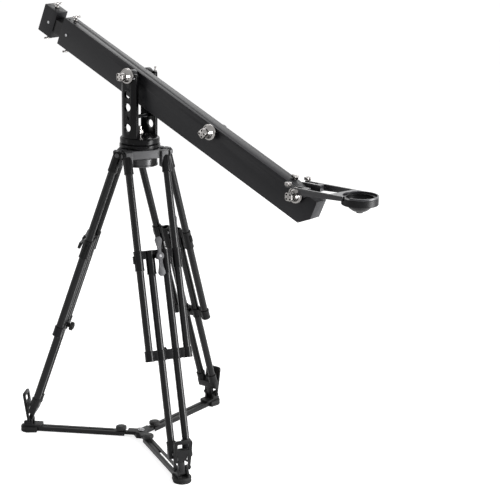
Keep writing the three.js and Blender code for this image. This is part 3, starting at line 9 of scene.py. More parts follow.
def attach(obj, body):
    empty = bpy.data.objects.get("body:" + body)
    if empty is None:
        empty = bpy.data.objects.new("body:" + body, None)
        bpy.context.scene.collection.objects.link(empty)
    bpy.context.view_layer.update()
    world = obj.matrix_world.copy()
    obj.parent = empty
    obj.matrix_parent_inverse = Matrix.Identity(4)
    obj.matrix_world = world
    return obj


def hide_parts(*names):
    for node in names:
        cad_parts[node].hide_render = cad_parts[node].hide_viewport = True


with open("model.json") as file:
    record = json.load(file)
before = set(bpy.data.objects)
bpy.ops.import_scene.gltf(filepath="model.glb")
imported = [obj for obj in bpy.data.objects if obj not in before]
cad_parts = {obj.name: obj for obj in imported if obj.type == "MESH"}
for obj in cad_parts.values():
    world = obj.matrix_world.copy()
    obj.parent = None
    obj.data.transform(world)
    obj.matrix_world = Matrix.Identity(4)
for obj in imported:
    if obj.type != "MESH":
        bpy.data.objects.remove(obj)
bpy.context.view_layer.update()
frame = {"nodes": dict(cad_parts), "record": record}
MM = 0.001

# The same named values as the source's arm and legs
PIVOT_HEIGHT = 1372.0
TILT = math.radians(23.6)
BEAM_TOP = 19.0
BEAM_BOTTOM = -86.0
BEAM_SIDE = 26.0
HINGE_RADIUS = 65.6
HINGE_HEIGHT = 1095.0
FOOT_RADIUS = 430.4
FOOT_HEIGHT = 30.0
LEG_ANGLE = math.atan2(FOOT_RADIUS - HINGE_RADIUS, HINGE_HEIGHT - FOOT_HEIGHT)
LEGS = (("front", -27.9), ("back", 92.1), ("left", 212.1))

# Frames that pieces are placed in, in millimetres
QUARTER = math.pi / 2
FULL_TURN = 2 * math.pi


def shift(x=0.0, y=0.0, z=0.0):
    return Matrix.Translation((x, y, z))


def spin(angle, axis="Z"):
    return Matrix.Rotation(angle, 4, axis)


ARM = shift(z=PIVOT_HEIGHT) @ spin(TILT, "Y")
WORLD = Matrix.Identity(4)


def leg_frame(azimuth):
    return spin(math.radians(azimuth))


def line_frame(azimuth):
    """A frame at a leg's hinge whose z axis runs up along the leg."""
    return leg_frame(azimuth) @ shift(HINGE_RADIUS, 0, HINGE_HEIGHT) @ spin(-LEG_ANGLE, "Y")


# Materials: a dark and a light patch colour each. The blacks are fitted to the photograph:
# darker and less shiny than real paint, because everything round them is white
RAMP_START = 0.35
RAMP_END = 0.65
PATCH_SCALE = 6.0
PATCH_DETAIL = 3.0
GRAIN_DETAIL = 4.0
GRAIN_DEPTH = 0.0004
WEAR_RADIUS = 0.0006
WEAR_SCALE = PATCH_SCALE * 14
WEAR_START = 0.97
WEAR_FULL = 0.8
# Socket places of the colour sides of a Mix node
MIX_FACTOR = 0
MIX_BASE = 6
MIX_OVER = 7
MIX_RESULT = 2


def shader_tree(name):
    material = bpy.data.materials.new(name)
    material.use_nodes = True
    tree = material.node_tree
    return material, tree, tree.nodes["Principled BSDF"]


def noise(tree, scale, detail=PATCH_DETAIL, stretch=None):
    coords = tree.nodes.new("ShaderNodeTexCoord")
    node = tree.nodes.new("ShaderNodeTexNoise")
    node.inputs["Scale"].default_value = scale
    node.inputs["Detail"].default_value = detail
    source = coords.outputs["Object"]
    if stretch:
        mapping = tree.nodes.new("ShaderNodeMapping")
        mapping.inputs["Scale"].default_value = stretch
        tree.links.new(source, mapping.inputs["Vector"])
        source = mapping.outputs["Vector"]
    tree.links.new(source, node.inputs["Vector"])
    return node.outputs["Fac"]


def ramp(tree, value, low, high):
    node = tree.nodes.new("ShaderNodeValToRGB")
    node.color_ramp.elements[0].position = RAMP_START
    node.color_ramp.elements[1].position = RAMP_END
    node.color_ramp.elements[0].color = (*low, 1.0)
    node.color_ramp.elements[1].color = (*high, 1.0)
    tree.links.new(value, node.inputs["Fac"])
    return node.outputs["Color"]


def spread(tree, value, low, high):
    node = tree.nodes.new("ShaderNodeMapRange")
    node.inputs["To Min"].default_value = low
    node.inputs["To Max"].default_value = high
    tree.links.new(value, node.inputs["Value"])
    return node.outputs["Result"]


def worn_edges(tree):
    """1 along edges, where a rounded normal leaves the face's own, and 0 elsewhere."""
    bevel = tree.nodes.new("ShaderNodeBevel")
    bevel.inputs["Radius"].default_value = WEAR_RADIUS
    geometry = tree.nodes.new("ShaderNodeNewGeometry")
    dot = tree.nodes.new("ShaderNodeVectorMath")
    dot.operation = "DOT_PRODUCT"
    tree.links.new(bevel.outputs["Normal"], dot.inputs[0])
    tree.links.new(geometry.outputs["Normal"], dot.inputs[1])
    node = tree.nodes.new("ShaderNodeMapRange")
    node.inputs["From Min"].default_value = WEAR_START
    node.inputs["From Max"].default_value = WEAR_FULL
    tree.links.new(dot.outputs["Value"], node.inputs["Value"])
    return node.outputs["Result"]


def coat(
    name, dark, light, rough, metal, grain, bump, wear=None, stretch=None, specular=0.5,
):
    """A surface with soft patches, a fine grain and, if asked, worn edges."""
    material, tree, shader = shader_tree(name)
    colour = ramp(tree, noise(tree, PATCH_SCALE), dark, light)
    if wear:
        mask = tree.nodes.new("ShaderNodeMath")
        mask.operation = "MULTIPLY"
        tree.links.new(worn_edges(tree), mask.inputs[0])
        tree.links.new(spread(tree, noise(tree, WEAR_SCALE), 0.0, 1.0), mask.inputs[1])
        mix = tree.nodes.new("ShaderNodeMix")
        mix.data_type = "RGBA"
        mix.inputs[MIX_OVER].default_value = (*wear, 1.0)
        tree.links.new(mask.outputs[0], mix.inputs[MIX_FACTOR])
        tree.links.new(colour, mix.inputs[MIX_BASE])
        colour = mix.outputs[MIX_RESULT]
    tree.links.new(colour, shader.inputs["Base Color"])
    fine = noise(tree, grain, GRAIN_DETAIL, stretch)
    tree.links.new(spread(tree, fine, rough[0], rough[1]), shader.inputs["Roughness"])
    shader.inputs["Metallic"].default_value = metal
    shader.inputs["Specular IOR Level"].default_value = specular
    height = tree.nodes.new("ShaderNodeBump")
    height.inputs["Strength"].default_value = bump
    height.inputs["Distance"].default_value = GRAIN_DEPTH
    tree.links.new(fine, height.inputs["Height"])
    tree.links.new(height.outputs["Normal"], shader.inputs["Normal"])
    return material


BEAM_PAINT = coat(
    "beam_paint", (0.010, 0.010, 0.012), (0.014, 0.014, 0.016), rough=(0.36, 0.46),
    metal=0.0, grain=900, bump=0.16, wear=(0.10, 0.10, 0.105), specular=0.2,
)
COLUMN_PAINT = coat(
    "column_paint", (0.003, 0.003, 0.0035), (0.005, 0.005, 0.0055), rough=(0.2, 0.28),
    metal=0.0, grain=1100, bump=0.08, wear=(0.07, 0.07, 0.07), specular=0.12,
)
PLATFORM_PAINT = coat(
    "platform_paint", (0.018, 0.018, 0.021), (0.026, 0.026, 0.029), rough=(0.3, 0.42),
    metal=0.0, grain=1000, bump=0.2, wear=(0.16, 0.16, 0.17), specular=0.4,
)
TUBE_BLACK = coat(
    "tube_black", (0.002, 0.002, 0.0025), (0.004, 0.004, 0.0045), rough=(0.2, 0.26),
    metal=0.0, grain=300, bump=0.03, stretch=(6.0, 6.0, 0.4), specular=0.22,
)
CAST_BLACK = coat(
    "cast_black", (0.085, 0.085, 0.088), (0.12, 0.12, 0.123), rough=(0.5, 0.65),
    metal=0.0, grain=1400, bump=0.55, wear=(0.25, 0.25, 0.25), specular=0.25,
)
BOWL_BLACK = coat(
    "bowl_black", (0.004, 0.004, 0.0045), (0.007, 0.007, 0.0075), rough=(0.34, 0.44),
    metal=0.0, grain=1100, bump=0.12, wear=(0.1, 0.1, 0.1), specular=0.14,
)
SLEEVE_BLACK = coat(
    "sleeve_black", (0.003, 0.003, 0.0035), (0.006, 0.006, 0.0065), rough=(0.2, 0.28),
    metal=0.0, grain=900, bump=0.1, wear=(0.12, 0.12, 0.12), specular=0.14,
)
SPREADER_BLACK = coat(
    "spreader_black", (0.006, 0.006, 0.0065), (0.011, 0.011, 0.0115), rough=(0.34, 0.48),
    metal=0.0, grain=1200, bump=0.35, wear=(0.06, 0.06, 0.06), specular=0.16,
)
POLISHED = coat(
    "polished_silver", (0.22, 0.21, 0.205), (0.34, 0.33, 0.32), rough=(0.16, 0.26),
    metal=1.0, grain=500, bump=0.05, stretch=(1.0, 8.0, 1.0),
)
STEEL = coat(
    "axle_steel", (0.34, 0.34, 0.35), (0.46, 0.46, 0.47), rough=(0.26, 0.38),
    metal=1.0, grain=700, bump=0.12, stretch=(8.0, 1.0, 8.0),
)
ANODISED = coat(
    "black_anodised", (0.008, 0.008, 0.009), (0.014, 0.014, 0.015), rough=(0.3, 0.42),
    metal=0.2, grain=800, bump=0.12, specular=0.25,
)
LEVER_GREY = coat(
    "lever_grey", (0.062, 0.062, 0.066), (0.085, 0.085, 0.089), rough=(0.42, 0.55),
    metal=0.0, grain=900, bump=0.3, wear=(0.26, 0.26, 0.26), specular=0.3,
)
CLAMP_GLOSS = coat(
    "clamp_gloss", (0.03, 0.03, 0.031), (0.042, 0.042, 0.043), rough=(0.26, 0.34),
    metal=0.3, grain=500, bump=0.1, stretch=(1.0, 1.0, 14.0), specular=0.4,
)
# A near-black, dull coat for the bottoms of the knobs' holes: painted shade
PAINTED_HOLE_SHADE = coat(
    "painted_hole_shade", (0.003, 0.003, 0.003), (0.006, 0.006, 0.006), rough=(0.6, 0.8),
    metal=0.0, grain=900, bump=0.2, specular=0.05,
)
PLASTIC = coat(
    "black_plastic", (0.006, 0.006, 0.006), (0.011, 0.011, 0.011), rough=(0.4, 0.55),
    metal=0.0, grain=1600, bump=0.4, specular=0.25,
)
RUBBER = coat(
    "foot_rubber", (0.010, 0.010, 0.010), (0.018, 0.018, 0.018), rough=(0.6, 0.78),
    metal=0.0, grain=800, bump=0.5, specular=0.2,
)

NODE_LOOKS = {
    "beam": BEAM_PAINT,
    "beam_front_cap": BEAM_PAINT,
    "rear_block": BEAM_PAINT,
    "rear_insert": ANODISED,
    "level_bar": ANODISED,
    "level_blade": STEEL,
    "fulcrum_axle": STEEL,
    "mid_axle": ANODISED,
    "front_axle": STEEL,
    "fulcrum_bush_near": ANODISED,
    "fulcrum_bush_far": ANODISED,
    "upright_near": COLUMN_PAINT,
    "upright_far": COLUMN_PAINT,
    "cross_rod": COLUMN_PAINT,
    "turntable": COLUMN_PAINT,
    "turntable_base": COLUMN_PAINT,
    "bowl_clamp": PLASTIC,
    "platform": PLATFORM_PAINT,
    "camera_bowl": COLUMN_PAINT,
    "crown": CAST_BLACK,
    "spreader_hub": SPREADER_BLACK,
}
SILVER_NODES = (
    "mid_hub", "mid_knob", "fulcrum_hub", "fulcrum_knob", "front_hub", "front_knob",
    "tilt_t_handle", "pan_lock_knob", "beam_top_knob", "rail_knob_near", "rail_knob_far",
    "t_screw_block_top", "t_screw_block_bottom", "t_screw_beam_top", "t_screw_beam_bottom",
)
for silver in SILVER_NODES:
    NODE_LOOKS[silver] = POLISHED
for leg, _azimuth in LEGS:
    NODE_LOOKS[f"leg_{leg}_upper"] = TUBE_BLACK
    NODE_LOOKS[f"leg_{leg}_lower"] = TUBE_BLACK
    NODE_LOOKS[f"leg_{leg}_lever"] = LEVER_GREY
    NODE_LOOKS[f"leg_{leg}_knob"] = PLASTIC
    NODE_LOOKS[f"spreader_arm_{leg}"] = SPREADER_BLACK
    NODE_LOOKS[f"spreader_knob_{leg}"] = PLASTIC
    NODE_LOOKS[f"foot_pad_{leg}"] = RUBBER
    NODE_LOOKS[f"foot_latch_{leg}"] = SPREADER_BLACK

# Rounded edges and smooth shading
SMOOTH_ANGLE = math.radians(32)
WELD_DISTANCE = 0.00001
BEVEL_SEGMENTS = 2


def smooth_group():
    group = bpy.data.node_groups.new("smooth_by_angle", "GeometryNodeTree")
    group.interface.new_socket("Geometry", in_out="INPUT", socket_type="NodeSocketGeometry")
    group.interface.new_socket("Geometry", in_out="OUTPUT", socket_type="NodeSocketGeometry")
    source = group.nodes.new("NodeGroupInput")
    target = group.nodes.new("NodeGroupOutput")
    faces = group.nodes.new("GeometryNodeSetShadeSmooth")
    faces.domain = "FACE"
    edges = group.nodes.new("GeometryNodeSetShadeSmooth")
    edges.domain = "EDGE"
    edges.inputs["Shade Smooth"].default_value = False
    angle = group.nodes.new("GeometryNodeInputMeshEdgeAngle")
    sharp = group.nodes.new("FunctionNodeCompare")
    sharp.data_type = "FLOAT"
    sharp.operation = "GREATER_THAN"
    sharp.inputs[1].default_value = SMOOTH_ANGLE
    group.links.new(angle.outputs["Unsigned Angle"], sharp.inputs[0])
    group.links.new(source.outputs[0], faces.inputs["Geometry"])
    group.links.new(faces.outputs[0], edges.inputs["Geometry"])
    group.links.new(sharp.outputs[0], edges.inputs["Selection"])
    group.links.new(edges.outputs[0], target.inputs[0])
    return group


SMOOTH = smooth_group()


def dress(obj, bevel):
    weld = obj.modifiers.new("weld", "WELD")
    weld.merge_threshold = WELD_DISTANCE
    if bevel:
        rounding = obj.modifiers.new("rounding", "BEVEL")
        rounding.width = bevel
        rounding.segments = BEVEL_SEGMENTS
        rounding.limit_method = "ANGLE"
        rounding.angle_limit = SMOOTH_ANGLE
    shading = obj.modifiers.new("shading", "NODES")
    shading.node_group = SMOOTH


CAD_BEVEL = 0.0006
for node_name, node_object in frame["nodes"].items():
    node_object.data.materials.clear()
    node_object.data.materials.append(NODE_LOOKS[node_name])
    dress(node_object, CAD_BEVEL)

# Mesh tools: every profile and outline is in millimetres
BODY_OF = {
    node: body
    for body, nodes in frame["record"]["behaviour"]["bodies"].items()
    for node in nodes
}
# Steps round a turned piece, and a radius that closes a profile at its axis
FINE = 72
CURVE = 40
COARSE = 24
LOBED_STEPS = 120
ARC_STEPS = 4
AXIS = 0.01
HEAD_RIM_SHARE = 0.12
SOCKET_FLOOR_SHARE = 0.35
SIXTH = FULL_TURN / 6


def circle(radius, count=FINE):
    return [
        (radius * math.cos(FULL_TURN * i / count), radius * math.sin(FULL_TURN * i / count))
        for i in range(count)
    ]


def lobed(radius, lobes, share):
    """An outline that swings between its radius and a share less, once for each lobe."""
    points = []
    for i in range(LOBED_STEPS):
        angle = FULL_TURN * i / LOBED_STEPS
        reach = radius * (1 - share * (0.5 - 0.5 * math.cos(lobes * angle)))
        points.append((reach * math.cos(angle), reach * math.sin(angle)))
    return points


def loft(bm, matrix, sections, closed=False):
    """Joins outlines of equal length; each section is an outline and its height."""
    rings = []
    for outline, height in sections:
        rings.append([bm.verts.new(matrix @ Vector((x, y, height)) * MM) for x, y in outline])
    pairs = list(zip(rings, rings[1:]))
    if closed:
        pairs.append((rings[-1], rings[0]))
    for lower, upper in pairs:
        count = len(lower)
        for i in range(count):
            j = (i + 1) % count
            bm.faces.new((lower[i], lower[j], upper[j], upper[i]))
    if not closed:
        bm.faces.new(list(reversed(rings[0])))
        bm.faces.new(rings[-1])


def lathe(bm, matrix, profile, closed=False, count=FINE):
    loft(bm, matrix, [(circle(radius, count), height) for radius, height in profile], closed)


def shrink(outline, amount):
    """Moves an outline inwards along its radii, for rounded rims."""
    points = []
    for x, y in outline:
        reach = math.hypot(x, y)
        share = max(reach - amount, AXIS) / reach
        points.append((x * share, y * share))
    return points


def rounded_stack(outline, low, high, rim):
    """Sections of a plate whose two rims are rounded."""
    sections = []
    for i in range(ARC_STEPS + 1):
        angle = QUARTER * i / ARC_STEPS
        inset = rim * (1 - math.sin(angle))
        sections.append((shrink(outline, inset), low + rim * (1 - math.cos(angle))))
    for i in range(ARC_STEPS + 1):
        angle = QUARTER * (1 - i / ARC_STEPS)
        inset = rim * (1 - math.sin(angle))
        sections.append((shrink(outline, inset), high - rim * (1 - math.cos(angle))))
    return sections


def rounded_box(x0, x1, y0, y1, corner):
    """A rectangle's outline with round corners."""
    corners = ((x1, y1, -1, -1), (x0, y1, 1, -1), (x0, y0, 1, 1), (x1, y0, -1, 1))
    points = []
    for quarter, (x, y, in_x, in_y) in enumerate(corners):
        for i in range(ARC_STEPS + 1):
            angle = (quarter + i / ARC_STEPS) * QUARTER
            points.append((
                x + in_x * corner + corner * math.cos(angle),
                y + in_y * corner + corner * math.sin(angle),
            ))
    return points


def slab(bm, matrix, x_span, y_span, z_span, corner, rim):
    """A block with round corners seen along z and rounded rims at both ends."""
    steps = []
    for i in range(ARC_STEPS + 1):
        angle = QUARTER * i / ARC_STEPS
        inset = rim * (1 - math.sin(angle))
        outline = rounded_box(
            x_span[0] + inset, x_span[1] - inset, y_span[0] + inset, y_span[1] - inset,
            corner - inset,
        )
        steps.append((outline, rim * (1 - math.cos(angle))))
    low = [(outline, z_span[0] + rise) for outline, rise in steps]
    high = [(outline, z_span[1] - rise) for outline, rise in reversed(steps)]
    loft(bm, matrix, low + high)


def socket_head(bm, matrix, radius, height, key):
    """A cap screw's head with a six-sided socket."""
    rim = radius * HEAD_RIM_SHARE
    hexagon = []
    for i in range(COARSE):
        angle = FULL_TURN * i / COARSE
        turn = angle % SIXTH - SIXTH / 2
        reach = key * math.cos(SIXTH / 2) / math.cos(turn)
        hexagon.append((reach * math.cos(angle), reach * math.sin(angle)))
    loft(bm, matrix, [
        (circle(radius, COARSE), 0),
        (circle(radius, COARSE), height - rim),
        (circle(radius - rim, COARSE), height),
        (hexagon, height),
        (hexagon, height * SOCKET_FLOOR_SHARE),
    ])


def finish_piece(bm, name, look, body, hides=(), bevel=0.0):
    """Makes the mesh an object with its look on its body and hides the nodes that it stands in for.
    """
    bmesh.ops.recalc_face_normals(bm, faces=bm.faces)
    mesh = bpy.data.meshes.new(name)
    bm.to_mesh(mesh)
    bm.free()
    mesh.materials.append(look)
    piece = bpy.data.objects.new(name, mesh)
    bpy.context.scene.collection.objects.link(piece)
    dress(piece, bevel)
    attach(piece, body)
    if hides:
        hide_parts(*hides)
    return piece


def carve(piece, cutter_bm):
    """Cuts closed solids out of a piece and keeps the result as its mesh."""
    bmesh.ops.recalc_face_normals(cutter_bm, faces=cutter_bm.faces)
    mesh = bpy.data.meshes.new("cutter")
    cutter_bm.to_mesh(mesh)
    cutter_bm.free()
    cutter = bpy.data.objects.new("cutter", mesh)
    bpy.context.scene.collection.objects.link(cutter)
    tool = piece.modifiers.new("carve", "BOOLEAN")
    tool.operation = "DIFFERENCE"
    tool.solver = "EXACT"
    tool.object = cutter
    while piece.modifiers[0] != tool:
        piece.modifiers.move(len(piece.modifiers) - 1, 0)
    others = [m for m in piece.modifiers if m != tool]
    for other in others:
        other.show_viewport = False
    bpy.context.view_layer.update()
    graph = bpy.context.evaluated_depsgraph_get()
    result = bpy.data.meshes.new_from_object(piece.evaluated_get(graph))
    piece.modifiers.remove(tool)
    old = piece.data
    piece.data = result
    result.name = old.name
    bpy.data.meshes.remove(old)
    for other in others:
        other.show_viewport = True
    bpy.data.objects.remove(cutter)
    bpy.data.meshes.remove(mesh)


def side_frame(base_frame, x, base, z):
    """A frame whose z axis points out of the near side at that place."""
    return base_frame @ shift(x, base, z) @ spin(QUARTER, "X")


# Hubs and their knobs: frame, place of the base (along, side, height) and the knob's turn
HUBS = {
    "mid": (ARM, 388.0, -37.6, 0.0, -23.6),
    "fulcrum": (WORLD, 0.0, -61.0, PIVOT_HEIGHT, 0.0),
    "front": (WORLD, 722.1, -33.65, 1056.5, 0.0),
}
HUB_PROFILE = (
    (5.4, 0.0), (26.6, 0.0), (27.5, 0.9), (27.5, 5.4), (26.8, 6.5), (25.4, 6.9), (23.4, 7.0),
    (22.4, 7.6), (21.5, 8.8), (20.6, 12.6), (19.4, 16.4), (18.2, 19.4), (17.6, 21.4), (17.5, 22.6),
    (17.0, 24.0), (5.4, 24.0),
)
HUB_STEPS = 96
KNOB_LOW = 24.35
KNOB_HIGH = 42.3
KNOB_RADIUS = 16.5
KNOB_LOBES = 4
KNOB_LOBE_SHARE = 0.16
KNOB_RIM = 1.6
KNOB_STEM = ((5.0, 17.0), (5.0, KNOB_LOW + 0.1))
CUT_OVERRUN = 1.0
KNOB_HOLE = 3.3
KNOB_HOLE_RING = 10.4
KNOB_HOLE_LOW = KNOB_HIGH - 7.0
KNOB_HOLE_PROFILE = ((KNOB_HOLE, KNOB_HOLE_LOW), (KNOB_HOLE, KNOB_HIGH + CUT_OVERRUN))
KNOB_SOCKET = ((2.1, KNOB_HIGH - 2.4), (2.1, KNOB_HIGH + CUT_OVERRUN))
SOCKET_SIDES = 6
HOLE_FLOOR_R = KNOB_HOLE - 0.12
HOLE_FLOOR_LOW = KNOB_HOLE_LOW + 0.05
HOLE_FLOOR = ((HOLE_FLOOR_R, HOLE_FLOOR_LOW), (HOLE_FLOOR_R, HOLE_FLOOR_LOW + 0.5))


def hub_and_knob(hub, hub_frame, along, base, height, knob_turn):
    at = side_frame(hub_frame, along, base, height)
    at_knob = at @ spin(math.radians(knob_turn))
    body = BODY_OF[f"{hub}_knob"]
    bm = bmesh.new()
    lathe(bm, at, HUB_PROFILE, closed=True, count=HUB_STEPS)
    finish_piece(
        bm, f"{hub}_hub_turned", POLISHED, BODY_OF[f"{hub}_hub"],
        [f"{hub}_hub"],
    )
    bm = bmesh.new()
    outline = lobed(KNOB_RADIUS, KNOB_LOBES, KNOB_LOBE_SHARE)
    loft(bm, at_knob @ spin(QUARTER / 2), rounded_stack(outline, KNOB_LOW, KNOB_HIGH, KNOB_RIM))
    lathe(bm, at, KNOB_STEM, count=COARSE)
    knob = finish_piece(
        bm, f"{hub}_knob_turned", POLISHED, body, [f"{hub}_knob"],
    )
    holes = [
        at_knob @ spin(FULL_TURN * (i + 0.5) / KNOB_LOBES) @ shift(KNOB_HOLE_RING)
        for i in range(KNOB_LOBES)
    ]
    bm = bmesh.new()
    for hole in holes:
        lathe(bm, hole, KNOB_HOLE_PROFILE, count=COARSE)
    lathe(bm, at, KNOB_SOCKET, count=SOCKET_SIDES)
    carve(knob, bm)
    # Near-black discs at the bottoms of the knobs' holes: painted shade in the holes
    bm = bmesh.new()
    for hole in holes:
        lathe(bm, hole, HOLE_FLOOR, count=COARSE)
    finish_piece(bm, f"{hub}_knob_hole_shade", PAINTED_HOLE_SHADE, body)


for hub_name, hub_place in HUBS.items():
    hub_and_knob(hub_name, *hub_place)

# Turntable, its base and the bowl clamp, turned finely
TURNTABLE_PROFILE = (
    (20.3, 1127.35), (63.0, 1127.35), (64.0, 1128.0), (64.0, 1131.0), (64.8, 1131.5),
    (70.2, 1131.5), (71.0, 1132.3), (71.0, 1143.6), (70.4, 1146.6), (68.8, 1148.8),
    (66.5, 1149.8), (64.5, 1150.0), (6.3, 1150.0), (6.3, 1139.35), (20.3, 1139.35),
)
TABLE_BASE_PROFILE = (
    (AXIS, 1052.0), (8.0, 1052.0), (8.0, 1085.0), (40.0, 1085.0), (44.6, 1098.0), (48.0, 1111.3),
    (70.2, 1111.3), (72.2, 1111.9), (73.0, 1113.6), (73.0, 1117.6), (72.0, 1118.4),
    (72.0, 1119.6), (73.0, 1120.4), (73.0, 1124.4), (72.2, 1126.2), (70.6, 1127.0),
    (20.0, 1127.0), (20.0, 1139.0), (AXIS, 1139.0),
)
BOWL_CLAMP_PROFILE = (
    (8.35, 1080.65), (8.35, 1048.0), (16.0, 1048.0), (16.0, 1067.0), (58.0, 1067.0),
    (58.0, 1048.4), (58.6, 1048.0), (63.4, 1048.0), (64.6, 1049.0), (64.6, 1053.2),
    (63.4, 1054.4), (62.6, 1055.0), (62.6, 1075.6), (61.6, 1077.0), (58.0, 1077.0),
    (58.0, 1080.65),
)
TURNED_STEPS = 128
TURNED_PARTS = (
    ("turntable", COLUMN_PAINT, "black_paint", TURNTABLE_PROFILE, True),
    ("turntable_base", COLUMN_PAINT, "black_paint", TABLE_BASE_PROFILE, False),
    ("bowl_clamp", CLAMP_GLOSS, "black_plastic", BOWL_CLAMP_PROFILE, True),
)
for turned_node, turned_look, turned_slot, turned_profile, is_ring in TURNED_PARTS:
    bm = bmesh.new()
    lathe(bm, WORLD, turned_profile, closed=is_ring, count=TURNED_STEPS)
    finish_piece(
        bm, f"{turned_node}_turned", turned_look, BODY_OF[turned_node], [turned_node],
    )

# Camera bowl: a deep ring over a smaller spherical cup with an open boss and three bumps
BOWL_X = 951.0
BOWL_TOP = 1079.65
BOWL_RING_LOW = 1055.65
BOWL_SPHERE = 45.0
BOWL_SHELL = 49.2
BOWL_HOLE = 8.0
BOWL_RING_PROFILE = (
    (BOWL_SPHERE, BOWL_TOP), (46.2, BOWL_TOP), (58.8, BOWL_TOP), (60.0, BOWL_TOP - 1.2),
    (60.0, BOWL_RING_LOW + 2.4), (58.8, BOWL_RING_LOW + 0.6), (56.6, BOWL_RING_LOW),
)
BOSS_FOOT = 3.0
BOSS_WALL = 2.6
BOSS_LOW = BOWL_TOP - BOWL_SHELL - 1.6
SHELL_STEPS = 12
SPHERE_STEPS = 17
BOWL_STEPS = 112
BUMPS = 3
BUMP_RING = 52.5
BUMP_TURN = 0.25
BUMP_PROFILE = ((3.6, -0.4), (3.6, 2.6), (2.8, 3.6), (AXIS, 3.6))


def bowl_profile():
    profile = list(BOWL_RING_PROFILE)
    start = math.asin((BOWL_TOP - BOWL_RING_LOW) / BOWL_SHELL)
    end = math.acos((BOWL_HOLE + BOSS_FOOT) / BOWL_SHELL)
    for i in range(SHELL_STEPS + 1):
        angle = start + (end - start) * i / SHELL_STEPS
        profile.append((BOWL_SHELL * math.cos(angle), BOWL_TOP - BOWL_SHELL * math.sin(angle)))
    profile.append((BOWL_HOLE + BOSS_WALL, BOSS_LOW))
    profile.append((BOWL_HOLE, BOSS_LOW))
    for i in range(SPHERE_STEPS):
        angle = math.acos(BOWL_HOLE / BOWL_SPHERE) * (1 - i / SPHERE_STEPS)
        profile.append((BOWL_SPHERE * math.cos(angle), BOWL_TOP - BOWL_SPHERE * math.sin(angle)))
    return profile


bm = bmesh.new()
lathe(bm, shift(BOWL_X), bowl_profile(), closed=True, count=BOWL_STEPS)
for i in range(BUMPS):
    angle = FULL_TURN * (i + BUMP_TURN) / BUMPS
    reach_x = BUMP_RING * math.cos(angle)
    reach_y = BUMP_RING * math.sin(angle)
    bump = shift(BOWL_X + reach_x, reach_y, BOWL_RING_LOW) @ spin(math.pi, "X")
    lathe(bm, bump, BUMP_PROFILE, count=COARSE)
finish_piece(
    bm, "camera_bowl_turned", BOWL_BLACK, BODY_OF["camera_bowl"], ["camera_bowl"],
)

# Star knobs: frame, place of the base and the length of the stem
STAR_KNOBS = {
    "rail_knob_near": (WORLD, 706.0, -53.5, 1089.0, 10.1),
    "rail_knob_far": (WORLD, 706.0, 53.5, 1089.0, 10.1),
    "beam_top_knob": (ARM, 733.0, 14.0, 22.0, 12.0),
}
STAR_RADIUS = 13.0
STAR_LOBES = 5
STAR_LOBE_SHARE = 0.24
STAR_HEIGHT = 10.0
STAR_STEM_R = 2.2
STAR_STEM_GAP = 2.7
STAR_NECK = ((STAR_STEM_R, -2.65), (6.6, -2.65), (7.2, -2.0), (6.4, -0.6), (6.4, 0.1))
STAR_CAP = ((7.2, 9.9), (7.2, 10.3), (6.6, 10.9), (3.4, 11.2), (3.0, 10.6), (AXIS, 10.5))
for knob_name, (knob_frame, x, y, base, stem) in STAR_KNOBS.items():
    at = knob_frame @ shift(x, y, base)
    outline = lobed(STAR_RADIUS, STAR_LOBES, STAR_LOBE_SHARE)
    bm = bmesh.new()
    loft(bm, at, rounded_stack(outline, 0.0, STAR_HEIGHT, KNOB_RIM))
    lathe(bm, at, ((STAR_STEM_R, STAR_STEM_GAP - stem), *STAR_NECK), count=CURVE)
    lathe(bm, at, STAR_CAP, count=CURVE)
    finish_piece(
        bm, f"{knob_name}_cast", POLISHED, BODY_OF[knob_name], [knob_name],
    )

PAN_RADIUS = 14.5
PAN_LOBES = 8
PAN_LOBE_SHARE = 0.1
PAN_LOW = 1158.0
PAN_HIGH = 1174.0
PAN_STEM = ((6.0, 1139.7), (6.0, 1154.0), (8.6, 1154.6), (9.4, 1157.0), (9.4, 1158.1))
PAN_CAP = (
    (9.6, 1173.9), (9.6, 1176.0), (8.2, 1177.0), (8.2, 1184.6), (8.8, 1185.4), (8.8, 1187.2),
    (8.0, 1188.0), (AXIS, 1188.0),
)
bm = bmesh.new()
pan_outline = lobed(PAN_RADIUS, PAN_LOBES, PAN_LOBE_SHARE)
loft(bm, WORLD, rounded_stack(pan_outline, PAN_LOW, PAN_HIGH, KNOB_RIM))
lathe(bm, WORLD, PAN_STEM, count=CURVE)
lathe(bm, WORLD, PAN_CAP, count=CURVE)
finish_piece(
    bm, "pan_lock_knob_cast", POLISHED, "pan_lock_knob", ["pan_lock_knob"],
)

# T-handles: the bar's ends are given as radius and distance from the end
BAR_HALF = 19.0
BAR_END = ((1.4, 0.0), (3.2, 0.6), (4.2, 2.2), (4.2, 4.6), (3.3, 7.0))
BAR_MIDDLE = ((3.6, -6.0), (4.6, -4.0), (4.6, 4.0), (3.6, 6.0))
TILT_STEM = ((5.0, 51.4), (5.0, 66.2), (4.4, 78.0), (4.4, 83.4))
TILT_COLLAR = ((9.0, 66.1), (9.0, 73.6), (7.6, 75.4), (4.4, 75.4))
SCREW_STEM = ((3.5, -27.1), (3.5, 6.2), (3.4, 13.0), (3.4, 18.0))
SCREW_COLLAR = ((6.0, 0.35), (7.0, 1.2), (7.0, 5.2), (6.2, 6.0), (3.5, 6.0))
BLOCK_SCREW_STATION = -455.0
BEAM_SCREW_STATION = -352.0
T_SCREWS = (
    ("t_screw_block_top", BLOCK_SCREW_STATION, BEAM_TOP, 0.0),
    ("t_screw_block_bottom", BLOCK_SCREW_STATION, BEAM_BOTTOM, math.pi),
    ("t_screw_beam_top", BEAM_SCREW_STATION, BEAM_TOP, 0.0),
    ("t_screw_beam_bottom", BEAM_SCREW_STATION, BEAM_BOTTOM, math.pi),
)


